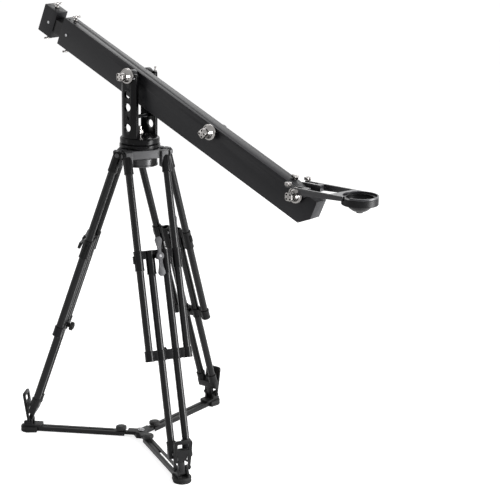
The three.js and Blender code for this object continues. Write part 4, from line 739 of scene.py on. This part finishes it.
def t_handle(name, at, stem, collar):
    """A stem with a collar and a bar across its top; at's z points out of the surface."""
    near_end = [(radius, inset - BAR_HALF) for radius, inset in BAR_END]
    far_end = [(radius, BAR_HALF - inset) for radius, inset in reversed(BAR_END)]
    bm = bmesh.new()
    lathe(bm, at, stem, count=CURVE)
    lathe(bm, at, collar, count=CURVE)
    bar = at @ shift(z=stem[-1][1]) @ spin(QUARTER, "X")
    lathe(bm, bar, (*near_end, *BAR_MIDDLE, *far_end), count=CURVE)
    finish_piece(bm, f"{name}_turned", POLISHED, BODY_OF[name], [name])


t_handle("tilt_t_handle", shift(z=PIVOT_HEIGHT) @ spin(-QUARTER, "X"), TILT_STEM, TILT_COLLAR)
for screw_name, station, face_height, flip in T_SCREWS:
    face = ARM @ shift(station, 0, face_height) @ spin(flip, "X")
    t_handle(screw_name, face, SCREW_STEM, SCREW_COLLAR)

# Leg stages in place of the plain ones: stations are counted down from the hinge
TUBE_R = 13.2
TUBE_BORE = 11.7
PRESSED_BORE = TUBE_R - 0.05
SLIDING_BORE = TUBE_R + 0.3
COLLAR_R = 17.0
COLLAR_WAIST = 16.3
COLLAR_LIP = 5.5
COLLAR_EDGE = 0.9
COLLAR_STEP = 0.6
OUTER_OFFSET = 70.8
INNER_OFFSET = 27.9
OUTER_START = 41.0
CASTING_END = 66.0
SLIDER = (337.0, 407.0)
SOCKET = (337.35, 422.0)
BRACKET = (689.0, 726.0)
FITTING = (1010.0, 1040.0, 1071.0)
LEVER_STATION = 361.0
KNOB_STATION = 698.0
LEG_LENGTH = math.hypot(FOOT_RADIUS - HINGE_RADIUS, HINGE_HEIGHT - FOOT_HEIGHT)
SIDES = (-1, 1)
WEBS = ((-61.0, -37.5), (-18.0, 18.0), (37.5, 61.0))
WEB_OVERHANG = 1.0


def ring_collar(bm, at, start, end, bore):
    """A sleeve round a tube with a lip at each end, from one station to another."""
    rim = COLLAR_R - COLLAR_EDGE
    lathe(bm, at, (
        (bore, -end), (rim, -end), (COLLAR_R, -end + COLLAR_EDGE),
        (COLLAR_R, -end + COLLAR_LIP - COLLAR_STEP), (COLLAR_WAIST, -end + COLLAR_LIP),
        (COLLAR_WAIST, -start - COLLAR_LIP), (COLLAR_R, -start - COLLAR_LIP + COLLAR_STEP),
        (COLLAR_R, -start - COLLAR_EDGE), (rim, -start), (bore, -start),
    ), closed=True)


def open_tube(bm, at, start, end):
    profile = ((TUBE_BORE, -end), (TUBE_R, -end), (TUBE_R, -start), (TUBE_BORE, -start))
    lathe(bm, at, profile, closed=True)


def across(base_frame, side, y, x=0.0, z=0.0):
    """A frame whose z axis points away from the leg's middle plane on that side."""
    return base_frame @ shift(x, side * y, z) @ spin(-side * QUARTER, "X")


def outward(line, station, x=0.0):
    """A frame at a station whose z axis points away from the tripod's middle."""
    return line @ shift(x, 0, -station) @ spin(QUARTER, "Y")


def inward(line, station, x=0.0):
    return line @ shift(x, 0, -station) @ spin(-QUARTER, "Y")


def beside(line, offset):
    return [line @ shift(0, side * offset, 0) for side in SIDES]


def leg_piece(bm, leg, part, look, stage, stands_in=False):
    node = f"leg_{leg}_{stage}"
    hides = [node] if stands_in else ()
    finish_piece(bm, f"leg_{leg}_{part}", look, BODY_OF[node], hides)


def outer_tubes(leg, line):
    bm = bmesh.new()
    for at in beside(line, OUTER_OFFSET):
        open_tube(bm, at, OUTER_START, BRACKET[1])
    leg_piece(bm, leg, "outer_tubes", TUBE_BLACK, "upper", stands_in=True)


CASTING_SLEEVE = (
    (13.3, -CASTING_END), (16.2, -CASTING_END), (17.0, -CASTING_END + 0.8),
    (17.0, -CASTING_END + 7.0), (16.4, -CASTING_END + 7.6), (16.4, -9.0), (15.4, -4.5),
    (12.8, -1.0), (8.0, 0.6), (AXIS, 1.0),
)
CASTING_HUB = (
    (12.8, 0.0), (14.0, 1.2), (14.0, 33.4), (12.6, 35.0), (10.4, 35.0), (9.8, 33.6),
    (AXIS, 33.6),
)
CASTING_HUB_START = 53.0
CASTING_SCREW_START = 86.4
CASTING_SCREW = (7.0, 2.6, 3.6)
PLATE_INNER = 53.4
PLATE_OUTER = 79.0
PLATE_X = (-14.0, 16.2)
PLATE_Z = (-46.0, 14.0)


def casting_sleeves(leg, line):
    bm = bmesh.new()
    for side, at in zip(SIDES, beside(line, OUTER_OFFSET)):
        lathe(bm, at, CASTING_SLEEVE)
        lathe(bm, across(line, side, CASTING_HUB_START), CASTING_HUB, count=CURVE)
        socket_head(bm, across(line, side, CASTING_SCREW_START), *CASTING_SCREW)
    leg_piece(bm, leg, "casting_sleeves", SLEEVE_BLACK, "upper")


def casting_plates(leg, hinge):
    bm = bmesh.new()
    for side in SIDES:
        span = sorted((side * PLATE_INNER, side * PLATE_OUTER))
        slab(bm, hinge, PLATE_X, span, PLATE_Z, corner=3.0, rim=2.0)
    leg_piece(bm, leg, "casting_plates", CAST_BLACK, "upper")


BRACKET_BOSS = ((9.0, 8.0), (9.0, 24.8), (8.0, 26.0), (4.8, 26.0))
BRACKET_WEB_X = (-9.0, 9.0)
BRACKET_WEB_Z = (-BRACKET[1] + 1.0, -BRACKET[0] - 1.0)
BRACKET_RIB_X = (-10.4, 10.4)
BRACKET_RIB_Z = (-BRACKET[0] - 6.0, -BRACKET[0])


def bracket(leg, line):
    bm = bmesh.new()
    for at in beside(line, OUTER_OFFSET):
        ring_collar(bm, at, *BRACKET, PRESSED_BORE)
    for at in beside(line, INNER_OFFSET):
        ring_collar(bm, at, *BRACKET, SLIDING_BORE)
    for low, high in WEBS:
        wide = (low - WEB_OVERHANG, high + WEB_OVERHANG)
        slab(bm, line, BRACKET_WEB_X, (low, high), BRACKET_WEB_Z, corner=2.4, rim=2.0)
        slab(bm, line, BRACKET_RIB_X, wide, BRACKET_RIB_Z, corner=2.0, rim=1.4)
    lathe(bm, inward(line, KNOB_STATION), BRACKET_BOSS, count=CURVE)
    leg_piece(bm, leg, "bracket_cast", SLEEVE_BLACK, "upper")


INNER_START = SOCKET[0] + 0.4
INNER_END = FITTING[1] + 1.0


def inner_tubes(leg, line):
    bm = bmesh.new()
    for at in beside(line, INNER_OFFSET):
        open_tube(bm, at, INNER_START, INNER_END)
    leg_piece(bm, leg, "inner_tubes", TUBE_BLACK, "lower", stands_in=True)


SLIDER_BOSS = ((11.0, 5.0), (9.6, 9.0), (9.0, 20.8), (8.0, 22.0), (4.8, 22.0))
SLIDER_WEB_X = (-6.0, 6.0)
SLIDER_WEB_Z = (-SLIDER[0] - 30.0, -SLIDER[0] - 0.4)
SLIDER_RIB_X = (-8.0, 8.0)
SLIDER_RIB_Z = (-SLIDER[0] - 5.0, -SLIDER[0] - 0.4)
EAR_OUT = OUTER_OFFSET + COLLAR_WAIST - 1.5
EAR_HEIGHT = -SLIDER[0] - 30.0
EAR_X = (-5.0, 5.0)
EAR_Y = (-14.0, 14.0)
EAR_Z = (0.0, 5.0)
EAR_RIBS = 5
EAR_RIB_START = -10.0
EAR_RIB_STEP = 5.0
EAR_RIB_HALF = 1.2
EAR_RIB_X = (-5.4, 5.4)
EAR_RIB_Z = (1.0, 6.4)


def slider(leg, line):
    bm = bmesh.new()
    for at in beside(line, OUTER_OFFSET):
        ring_collar(bm, at, *SLIDER, SLIDING_BORE)
    for at in beside(line, INNER_OFFSET):
        ring_collar(bm, at, *SOCKET, PRESSED_BORE)
    for low, high in WEBS:
        wide = (low - WEB_OVERHANG, high + WEB_OVERHANG)
        slab(bm, line, SLIDER_WEB_X, (low, high), SLIDER_WEB_Z, corner=2.4, rim=1.6)
        slab(bm, line, SLIDER_RIB_X, wide, SLIDER_RIB_Z, corner=2.0, rim=1.2)
    lathe(bm, outward(line, LEVER_STATION), SLIDER_BOSS, count=CURVE)
    for side in SIDES:
        ear = across(line, side, EAR_OUT, 0.0, EAR_HEIGHT)
        slab(bm, ear, EAR_X, EAR_Y, EAR_Z, corner=3.0, rim=1.0)
        for rib in range(EAR_RIBS):
            middle = EAR_RIB_START + EAR_RIB_STEP * rib
            rib_span = (middle - EAR_RIB_HALF, middle + EAR_RIB_HALF)
            slab(bm, ear, EAR_RIB_X, rib_span, EAR_RIB_Z, corner=1.1, rim=0.8)
    leg_piece(bm, leg, "slider_cast", SLEEVE_BLACK, "lower")


SLIDER_BOLT_STATION = SLIDER[0] + 17.0
SLIDER_BOLT_X = -6.0
SLIDER_BOLT_SIDE = 13.0
SLIDER_BOLT = (4.2, 2.6, 2.2)
FITTING_BOLT_STATION = 0.5 * (FITTING[1] + FITTING[2])
FITTING_BOLT_X = 13.0
FITTING_BOLT = (4.4, 2.2, 2.3)


def bolt_pair(leg, part, at, offset, sizes):
    bm = bmesh.new()
    for side in SIDES:
        socket_head(bm, at @ shift(0, side * offset, 0), *sizes)
    leg_piece(bm, leg, part, STEEL, "lower")


FITTING_BLOCK_X = (-13.0, 13.0)
FITTING_BLOCK_Y = (-44.0, 44.0)
FITTING_BLOCK_Z = (-FITTING[2], -FITTING[1])
FITTING_STEM_X = (-8.0, 8.0)
FITTING_STEM_Y = (-11.4, 11.4)
FITTING_STEM_Z = (-LEG_LENGTH, -FITTING[2] + 4.0)
FITTING_EYE = ((5.4, 0.0), (9.0, 0.0), (9.0, 22.8), (5.4, 22.8))


def foot_fitting(leg, line):
    bm = bmesh.new()
    for at in beside(line, INNER_OFFSET):
        ring_collar(bm, at, FITTING[0], FITTING[1] + 2.0, PRESSED_BORE)
    slab(bm, line, FITTING_BLOCK_X, FITTING_BLOCK_Y, FITTING_BLOCK_Z, corner=6.0, rim=2.4)
    slab(bm, line, FITTING_STEM_X, FITTING_STEM_Y, FITTING_STEM_Z, corner=2.0, rim=1.0)
    eye = across(line, 1, FITTING_STEM_Y[0], 0.0, -LEG_LENGTH)
    lathe(bm, eye, FITTING_EYE, closed=True, count=CURVE)
    leg_piece(bm, leg, "fitting_cast", SPREADER_BLACK, "lower")


for leg, azimuth in LEGS:
    line = line_frame(azimuth)
    outer_tubes(leg, line)
    casting_sleeves(leg, line)
    casting_plates(leg, leg_frame(azimuth) @ shift(HINGE_RADIUS, 0, HINGE_HEIGHT))
    bracket(leg, line)
    inner_tubes(leg, line)
    slider(leg, line)
    slider_back = inward(line, SLIDER_BOLT_STATION, SLIDER_BOLT_X)
    bolt_pair(leg, "slider_bolts", slider_back, SLIDER_BOLT_SIDE, SLIDER_BOLT)
    foot_fitting(leg, line)
    fitting_front = outward(line, FITTING_BOLT_STATION, FITTING_BOLT_X)
    bolt_pair(leg, "fitting_bolts", fitting_front, INNER_OFFSET, FITTING_BOLT)

# Clamp levers and star knobs on the legs; the left lever, turned aside, is given the black plastic
# as painted shade
LEVER_TURNS = {"front": 0.0, "back": 0.0, "left": 80.0}
# The left lever is the same grey lever as the others; its black plastic look is painted shade
LEVER_LOOKS_AND_SHADE = {"front": LEVER_GREY, "back": LEVER_GREY, "left": PLASTIC}
LEVER_UP = 68.0
LEVER_DOWN = 71.0
LEVER_END_R = 12.5
LEVER_WAIST = 6.0
LEVER_SWELL = 1.2
LEVER_SHOULDER = 2.2
LEVER_SHARES = (0.42, 0.62, 0.84)
LEVER_LOW = 22.35
LEVER_HIGH = 31.35
LEVER_RIM = 2.0
LEVER_HUB = ((14.0, 22.35), (14.0, 30.6), (13.0, 32.0), (10.0, 32.6), (AXIS, 32.6))
LEVER_PIN = ((4.5, 6.35), (4.5, 22.5))
LEVER_SCREW_BASE = 32.4
LEVER_SCREW = (5.2, 2.4, 2.6)
LEG_KNOB_RADIUS = 17.0
LEG_KNOB_LOBES = 5
LEG_KNOB_LOBE_SHARE = 0.32
LEG_KNOB_LOW = 26.35
LEG_KNOB_HIGH = 40.35
LEG_KNOB_RIM = 2.4
LEG_KNOB_STEM = ((4.5, 9.4), (4.5, 26.4))
LEG_KNOB_CAP = ((9.4, 40.0), (9.4, 41.6), (8.4, 42.6), (AXIS, 42.6))


def bone(steps=14):
    """The outline of a lever that is thick at both ends, long axis along y."""
    near, middle, far = LEVER_SHARES
    flank = (
        (LEVER_WAIST, near), (LEVER_WAIST + LEVER_SWELL, middle),
        (LEVER_END_R - LEVER_SHOULDER, far),
    )
    outline = []
    for reach, sign in ((LEVER_UP, 1), (LEVER_DOWN, -1)):
        centre = sign * (reach - LEVER_END_R)
        outline += [(sign * half_width, centre * share) for half_width, share in flank]
        for i in range(steps + 1):
            angle = math.pi * i / steps
            outline.append((
                sign * LEVER_END_R * math.cos(angle),
                centre + sign * LEVER_END_R * math.sin(angle),
            ))
        outline += [(-sign * half_width, centre * share) for half_width, share in reversed(flank)]
    return outline


for leg, azimuth in LEGS:
    line = line_frame(azimuth)
    lever_frame = outward(line, LEVER_STATION) @ spin(QUARTER)
    turned = lever_frame @ spin(math.radians(LEVER_TURNS[leg]))
    bm = bmesh.new()
    loft(bm, turned, rounded_stack(bone(), LEVER_LOW, LEVER_HIGH, LEVER_RIM))
    lathe(bm, turned, LEVER_HUB, count=CURVE)
    lathe(bm, turned, LEVER_PIN, count=COARSE)
    leg_piece(bm, leg, "lever_cast", LEVER_LOOKS_AND_SHADE[leg], "lever", stands_in=True)
    bm = bmesh.new()
    socket_head(bm, turned @ shift(z=LEVER_SCREW_BASE), *LEVER_SCREW)
    leg_piece(bm, leg, "lever_screw", STEEL, "lever")
    knob_frame = inward(line, KNOB_STATION)
    outline = lobed(LEG_KNOB_RADIUS, LEG_KNOB_LOBES, LEG_KNOB_LOBE_SHARE)
    bm = bmesh.new()
    loft(bm, knob_frame, rounded_stack(outline, LEG_KNOB_LOW, LEG_KNOB_HIGH, LEG_KNOB_RIM))
    lathe(bm, knob_frame, LEG_KNOB_STEM, count=COARSE)
    lathe(bm, knob_frame, LEG_KNOB_CAP, count=CURVE)
    leg_piece(bm, leg, "knob_moulded", PLASTIC, "knob", stands_in=True)

# Foot pads with soft rims and a tread groove
PAD_NOSE = 33.0
PAD_TAIL = 32.4
PAD_TAIL_SHARE = 0.8
PAD_STEPS = 24
PAD_SOLE = (0.0, 7.0, 1.2)
PAD_GROOVE = (6.5, 9.5)
PAD_GROOVE_DEEP = 1.6
PAD_BODY = (9.0, 20.2, 4.0)


def pad_outline():
    outline = []
    for i in range(PAD_STEPS + 1):
        angle = math.pi * (i / PAD_STEPS - 0.5)
        outline.append((PAD_NOSE * math.cos(angle), PAD_NOSE * math.sin(angle)))
    outline.append((-PAD_TAIL, PAD_TAIL_SHARE * PAD_NOSE))
    outline.append((-PAD_TAIL, -PAD_TAIL_SHARE * PAD_NOSE))
    return outline


for leg, azimuth in LEGS:
    at = leg_frame(azimuth) @ shift(FOOT_RADIUS)
    outline = pad_outline()
    groove = shrink(outline, PAD_GROOVE_DEEP)
    bm = bmesh.new()
    loft(bm, at, rounded_stack(outline, *PAD_SOLE))
    loft(bm, at, [(groove, height) for height in PAD_GROOVE])
    loft(bm, at, rounded_stack(outline, *PAD_BODY))
    pad = f"foot_pad_{leg}"
    finish_piece(bm, f"{pad}_moulded", RUBBER, BODY_OF[pad], [pad])

# Round lock knobs on the spreader and the screw at its middle
LOCK_STATION = 77.0
LOCK_RADIUS = 20.5
LOCK_RIBS = 20
LOCK_RIB_SHARE = 0.035
LOCK_BODY = (24.4, 36.6, 2.4)
LOCK_CAP = ((15.0, 36.4), (15.0, 37.4), (13.6, 38.6), (4.0, 38.9), (AXIS, 38.9))
LOCK_STEM = ((4.0, 17.0), (4.0, 24.6))
for leg, azimuth in LEGS:
    at = leg_frame(azimuth) @ shift(LOCK_STATION)
    bm = bmesh.new()
    loft(bm, at, rounded_stack(lobed(LOCK_RADIUS, LOCK_RIBS, LOCK_RIB_SHARE), *LOCK_BODY))
    lathe(bm, at, LOCK_CAP, count=CURVE)
    lathe(bm, at, LOCK_STEM, count=COARSE)
    lock = f"spreader_knob_{leg}"
    finish_piece(bm, f"{lock}_moulded", PLASTIC, BODY_OF[lock], [lock])
WASHER_PROFILE = (
    (8.6, 26.05), (12.2, 26.05), (12.2, 27.6), (11.4, 28.4), (9.4, 28.4), (8.6, 27.6),
)
WASHER_STEPS = 48
MIDDLE_SCREW = (6.4, 3.4, 3.2)
bm = bmesh.new()
lathe(bm, WORLD, WASHER_PROFILE, closed=True, count=WASHER_STEPS)
socket_head(bm, shift(z=WASHER_PROFILE[0][1]), *MIDDLE_SCREW)
finish_piece(bm, "spreader_middle_screw", STEEL, BODY_OF["spreader_hub"])

# Foot latches: a framed window, two side arms and a tapered tongue
LATCH_RADIUS = 427.0
LATCH_HEIGHT = 47.0
LATCH_LEAN = math.radians(8.0)
LATCH_HALF_THICK = 4.0
LATCH_BEVEL = 0.0012
LATCH_OUTLINE = (
    (22.6, -8.0), (30.5, -8.0), (31.0, 14.0), (32.6, 44.0), (33.0, 70.0), (33.0, 100.0),
    (31.6, 106.0), (26.0, 110.0),
)
LATCH_TONGUE = ((12.5, 30.0), (15.0, 25.0), (22.6, 25.0))
LATCH_OPENING = ((14.5, 29.0), (21.0, 29.0), (18.6, 60.0))
LATCH_CUT = (-6.0, 6.0)
WINDOW_HALF = 21.5
WINDOW_FRAME = 3.6
WINDOW_SPAN = (-98.0, -73.0)
RECESS_SPAN = (-101.5, -69.5)
RECESS_CUT = (2.4, 6.0)
CUT_RIM = 0.4
LATCH_PIN_START = 16.0
LATCH_PIN = ((4.0, 0.0), (4.0, 12.0))
LATCH_SCREW_START = 30.8
LATCH_SCREW = (6.0, 2.4, 3.0)


def prism(bm, base_frame, outline, low, high):
    """A plate whose outline lies in the frame's y and z, from one x to the other."""
    turn = Matrix(((0, 0, 1, 0), (1, 0, 0, 0), (0, 1, 0, 0), (0, 0, 0, 1)))
    loft(bm, base_frame @ turn, [(outline, low), (outline, high)])


def mirrored(outline):
    return [(-y, z) for y, z in reversed(outline)]


def latch_cutter(pivot):
    bm = bmesh.new()
    face = pivot @ spin(QUARTER, "Y")
    wide = WINDOW_HALF + WINDOW_FRAME
    slab(bm, face, WINDOW_SPAN, (-WINDOW_HALF, WINDOW_HALF), LATCH_CUT, corner=3.0, rim=CUT_RIM)
    slab(bm, face, RECESS_SPAN, (-wide, wide), RECESS_CUT, corner=5.0, rim=CUT_RIM)
    for side in SIDES:
        prism(bm, pivot, [(side * y, z) for y, z in LATCH_OPENING], *LATCH_CUT)
    return bm


for leg, azimuth in LEGS:
    pivot = leg_frame(azimuth) @ shift(LATCH_RADIUS, 0, LATCH_HEIGHT) @ spin(LATCH_LEAN, "Y")
    outline = [*LATCH_OUTLINE, *mirrored(LATCH_OUTLINE), *mirrored(LATCH_TONGUE), *LATCH_TONGUE]
    latch = f"foot_latch_{leg}"
    bm = bmesh.new()
    prism(bm, pivot, outline, -LATCH_HALF_THICK, LATCH_HALF_THICK)
    latch_piece = finish_piece(
        bm, f"{latch}_cast", SPREADER_BLACK, BODY_OF[latch], [latch], LATCH_BEVEL,
    )
    carve(latch_piece, latch_cutter(pivot))
    bm = bmesh.new()
    for side in SIDES:
        lathe(bm, across(pivot, side, LATCH_PIN_START), LATCH_PIN, count=COARSE)
        socket_head(bm, across(pivot, side, LATCH_SCREW_START), *LATCH_SCREW)
    finish_piece(bm, f"{latch}_pin", SPREADER_BLACK, BODY_OF[latch])

# Small screws on the beam, the block and the column: radius, height and socket
SIDE_SCREW = (5.0, 2.6, 2.6)
TOP_SCREW = (3.4, 1.8, 1.8)
COLUMN_SCREW = (3.2, 3.4, 1.7)
SIDE_SCREW_DROP = -35.0
TOP_SCREW_SIDE = -12.0
beam_side = side_frame(ARM, -351.5, -BEAM_SIDE, SIDE_SCREW_DROP)
block_side = side_frame(ARM, -450.0, -BEAM_SIDE, SIDE_SCREW_DROP)
beam_top = [ARM @ shift(station, TOP_SCREW_SIDE, BEAM_TOP) for station in (-369.0, -340.0)]
column_face = side_frame(WORLD, 31.2, -60.4, 1365.0)
SMALL_SCREWS = (
    ("beam_side_screw", "beam", STEEL, "axle_steel", [beam_side], SIDE_SCREW),
    ("block_side_screw", "rear_block", STEEL, "axle_steel", [block_side], SIDE_SCREW),
    ("beam_top_screws", "beam", ANODISED, "black_paint", beam_top, TOP_SCREW),
    ("column_face_screw", "upright_near", STEEL, "axle_steel", [column_face], COLUMN_SCREW),
)
for screw_name, screw_node, screw_look, screw_slot, screw_frames, sizes in SMALL_SCREWS:
    bm = bmesh.new()
    for at in screw_frames:
        socket_head(bm, at, *sizes)
    finish_piece(bm, screw_name, screw_look, BODY_OF[screw_node])

# Camera at the photograph's viewpoint
CAMERA_TURN = math.radians(42.883)
CAMERA_DISTANCE = 5.0498
CAMERA_HEIGHT = 2.1324
VIEW_HEADING = math.radians(38.354)
VIEW_PITCH = math.radians(15.506)
VIEW_ROLL = math.radians(0.92)
CAMERA_LENS = 103.4
SENSOR = 36.0
CLIP_END = 100

forward = Vector((
    -math.sin(VIEW_HEADING) * math.cos(VIEW_PITCH),
    math.cos(VIEW_HEADING) * math.cos(VIEW_PITCH),
    -math.sin(VIEW_PITCH),
))
level_right = Vector((math.cos(VIEW_HEADING), math.sin(VIEW_HEADING), 0))
level_up = level_right.cross(forward)
right = level_right * math.cos(VIEW_ROLL) + level_up * math.sin(VIEW_ROLL)
up = level_up * math.cos(VIEW_ROLL) - level_right * math.sin(VIEW_ROLL)
camera_data = bpy.data.cameras.new("camera")
camera_data.lens = CAMERA_LENS
camera_data.sensor_width = SENSOR
camera_data.clip_end = CLIP_END
camera = bpy.data.objects.new("camera", camera_data)
turn = Matrix((right, up, -forward)).transposed().to_4x4()
place = Vector((
    math.sin(CAMERA_TURN) * CAMERA_DISTANCE,
    -math.cos(CAMERA_TURN) * CAMERA_DISTANCE,
    CAMERA_HEIGHT,
))
camera.matrix_world = Matrix.Translation(place) @ turn
bpy.context.scene.collection.objects.link(camera)
bpy.context.scene.camera = camera

# Floor and light: the camera, shiny faces and glass see white, and the object is lit by the
# lamps, the floor and a weak world
FLOOR_SIZE = 40.0
FLOOR_SHADE = (0.8, 0.8, 0.8, 1)
FLOOR_ROUGHNESS = 0.9
FLOOR_SPECULAR = 0.1
FLOOR_LIFT = 0.77
WORLD_LIGHT = 0.3
WHITE = (1, 1, 1, 1)
floor_mesh = bpy.data.meshes.new("floor")
half = FLOOR_SIZE / 2
floor_corners = [(-half, -half, 0), (half, -half, 0), (half, half, 0), (-half, half, 0)]
floor_mesh.from_pydata(floor_corners, [], [(0, 1, 2, 3)])
floor = bpy.data.objects.new("floor", floor_mesh)
bpy.context.scene.collection.objects.link(floor)
floor_look, floor_tree, floor_shader = shader_tree("studio_floor")
floor_shader.inputs["Base Color"].default_value = FLOOR_SHADE
floor_shader.inputs["Roughness"].default_value = FLOOR_ROUGHNESS
floor_shader.inputs["Specular IOR Level"].default_value = FLOOR_SPECULAR
floor_mesh.materials.append(floor_look)


def seen_rays(tree):
    """1 for rays that the camera, a mirror or glass sends out, 0 for those that light the object."""
    paths = tree.nodes.new("ShaderNodeLightPath")
    total = paths.outputs["Is Camera Ray"]
    for kind in ("Is Glossy Ray", "Is Transmission Ray"):
        adder = tree.nodes.new("ShaderNodeMath")
        adder.operation = "MAXIMUM"
        tree.links.new(total, adder.inputs[0])
        tree.links.new(paths.outputs[kind], adder.inputs[1])
        total = adder.outputs[0]
    return total


floor_glow = floor_tree.nodes.new("ShaderNodeMath")
floor_glow.operation = "MULTIPLY"
floor_glow.inputs[1].default_value = FLOOR_LIFT
floor_tree.links.new(seen_rays(floor_tree), floor_glow.inputs[0])
floor_shader.inputs["Emission Color"].default_value = WHITE
floor_tree.links.new(floor_glow.outputs[0], floor_shader.inputs["Emission Strength"])

world = bpy.data.worlds.new("studio")
bpy.context.scene.world = world
world.use_nodes = True
backdrop = world.node_tree.nodes["Background"]
backdrop.inputs["Color"].default_value = WHITE
world_level = world.node_tree.nodes.new("ShaderNodeMapRange")
world_level.inputs["To Min"].default_value = WORLD_LIGHT
world_level.inputs["To Max"].default_value = 1.0
world.node_tree.links.new(seen_rays(world.node_tree), world_level.inputs["Value"])
world.node_tree.links.new(world_level.outputs["Result"], backdrop.inputs["Strength"])
bpy.context.scene.view_settings.view_transform = "Standard"


def area_light(name, position, target, width, height, power):
    data = bpy.data.lights.new(name, "AREA")
    data.shape = "RECTANGLE"
    data.size = width
    data.size_y = height
    data.energy = power
    lamp = bpy.data.objects.new(name, data)
    aim = (Vector(target) - Vector(position)).to_track_quat("-Z", "Y")
    lamp.matrix_world = Matrix.Translation(position) @ aim.to_matrix().to_4x4()
    bpy.context.scene.collection.objects.link(lamp)


# Name, place, what it points at, width, height and watts
LAMPS = (
    ("right_soft", (3.2, 1.0, 0.9), (0.1, 0, 0.75), 1.3, 2.6, 225),
    ("back_soft", (-1.3, 3.4, 3.4), (0.2, 0, 1.2), 3.0, 2.4, 55),
    ("left_strip", (-2.2, -2.8, 1.6), (0.1, 0, 1.0), 0.3, 2.0, 10),
)
for lamp_values in LAMPS:
    area_light(*lamp_values)
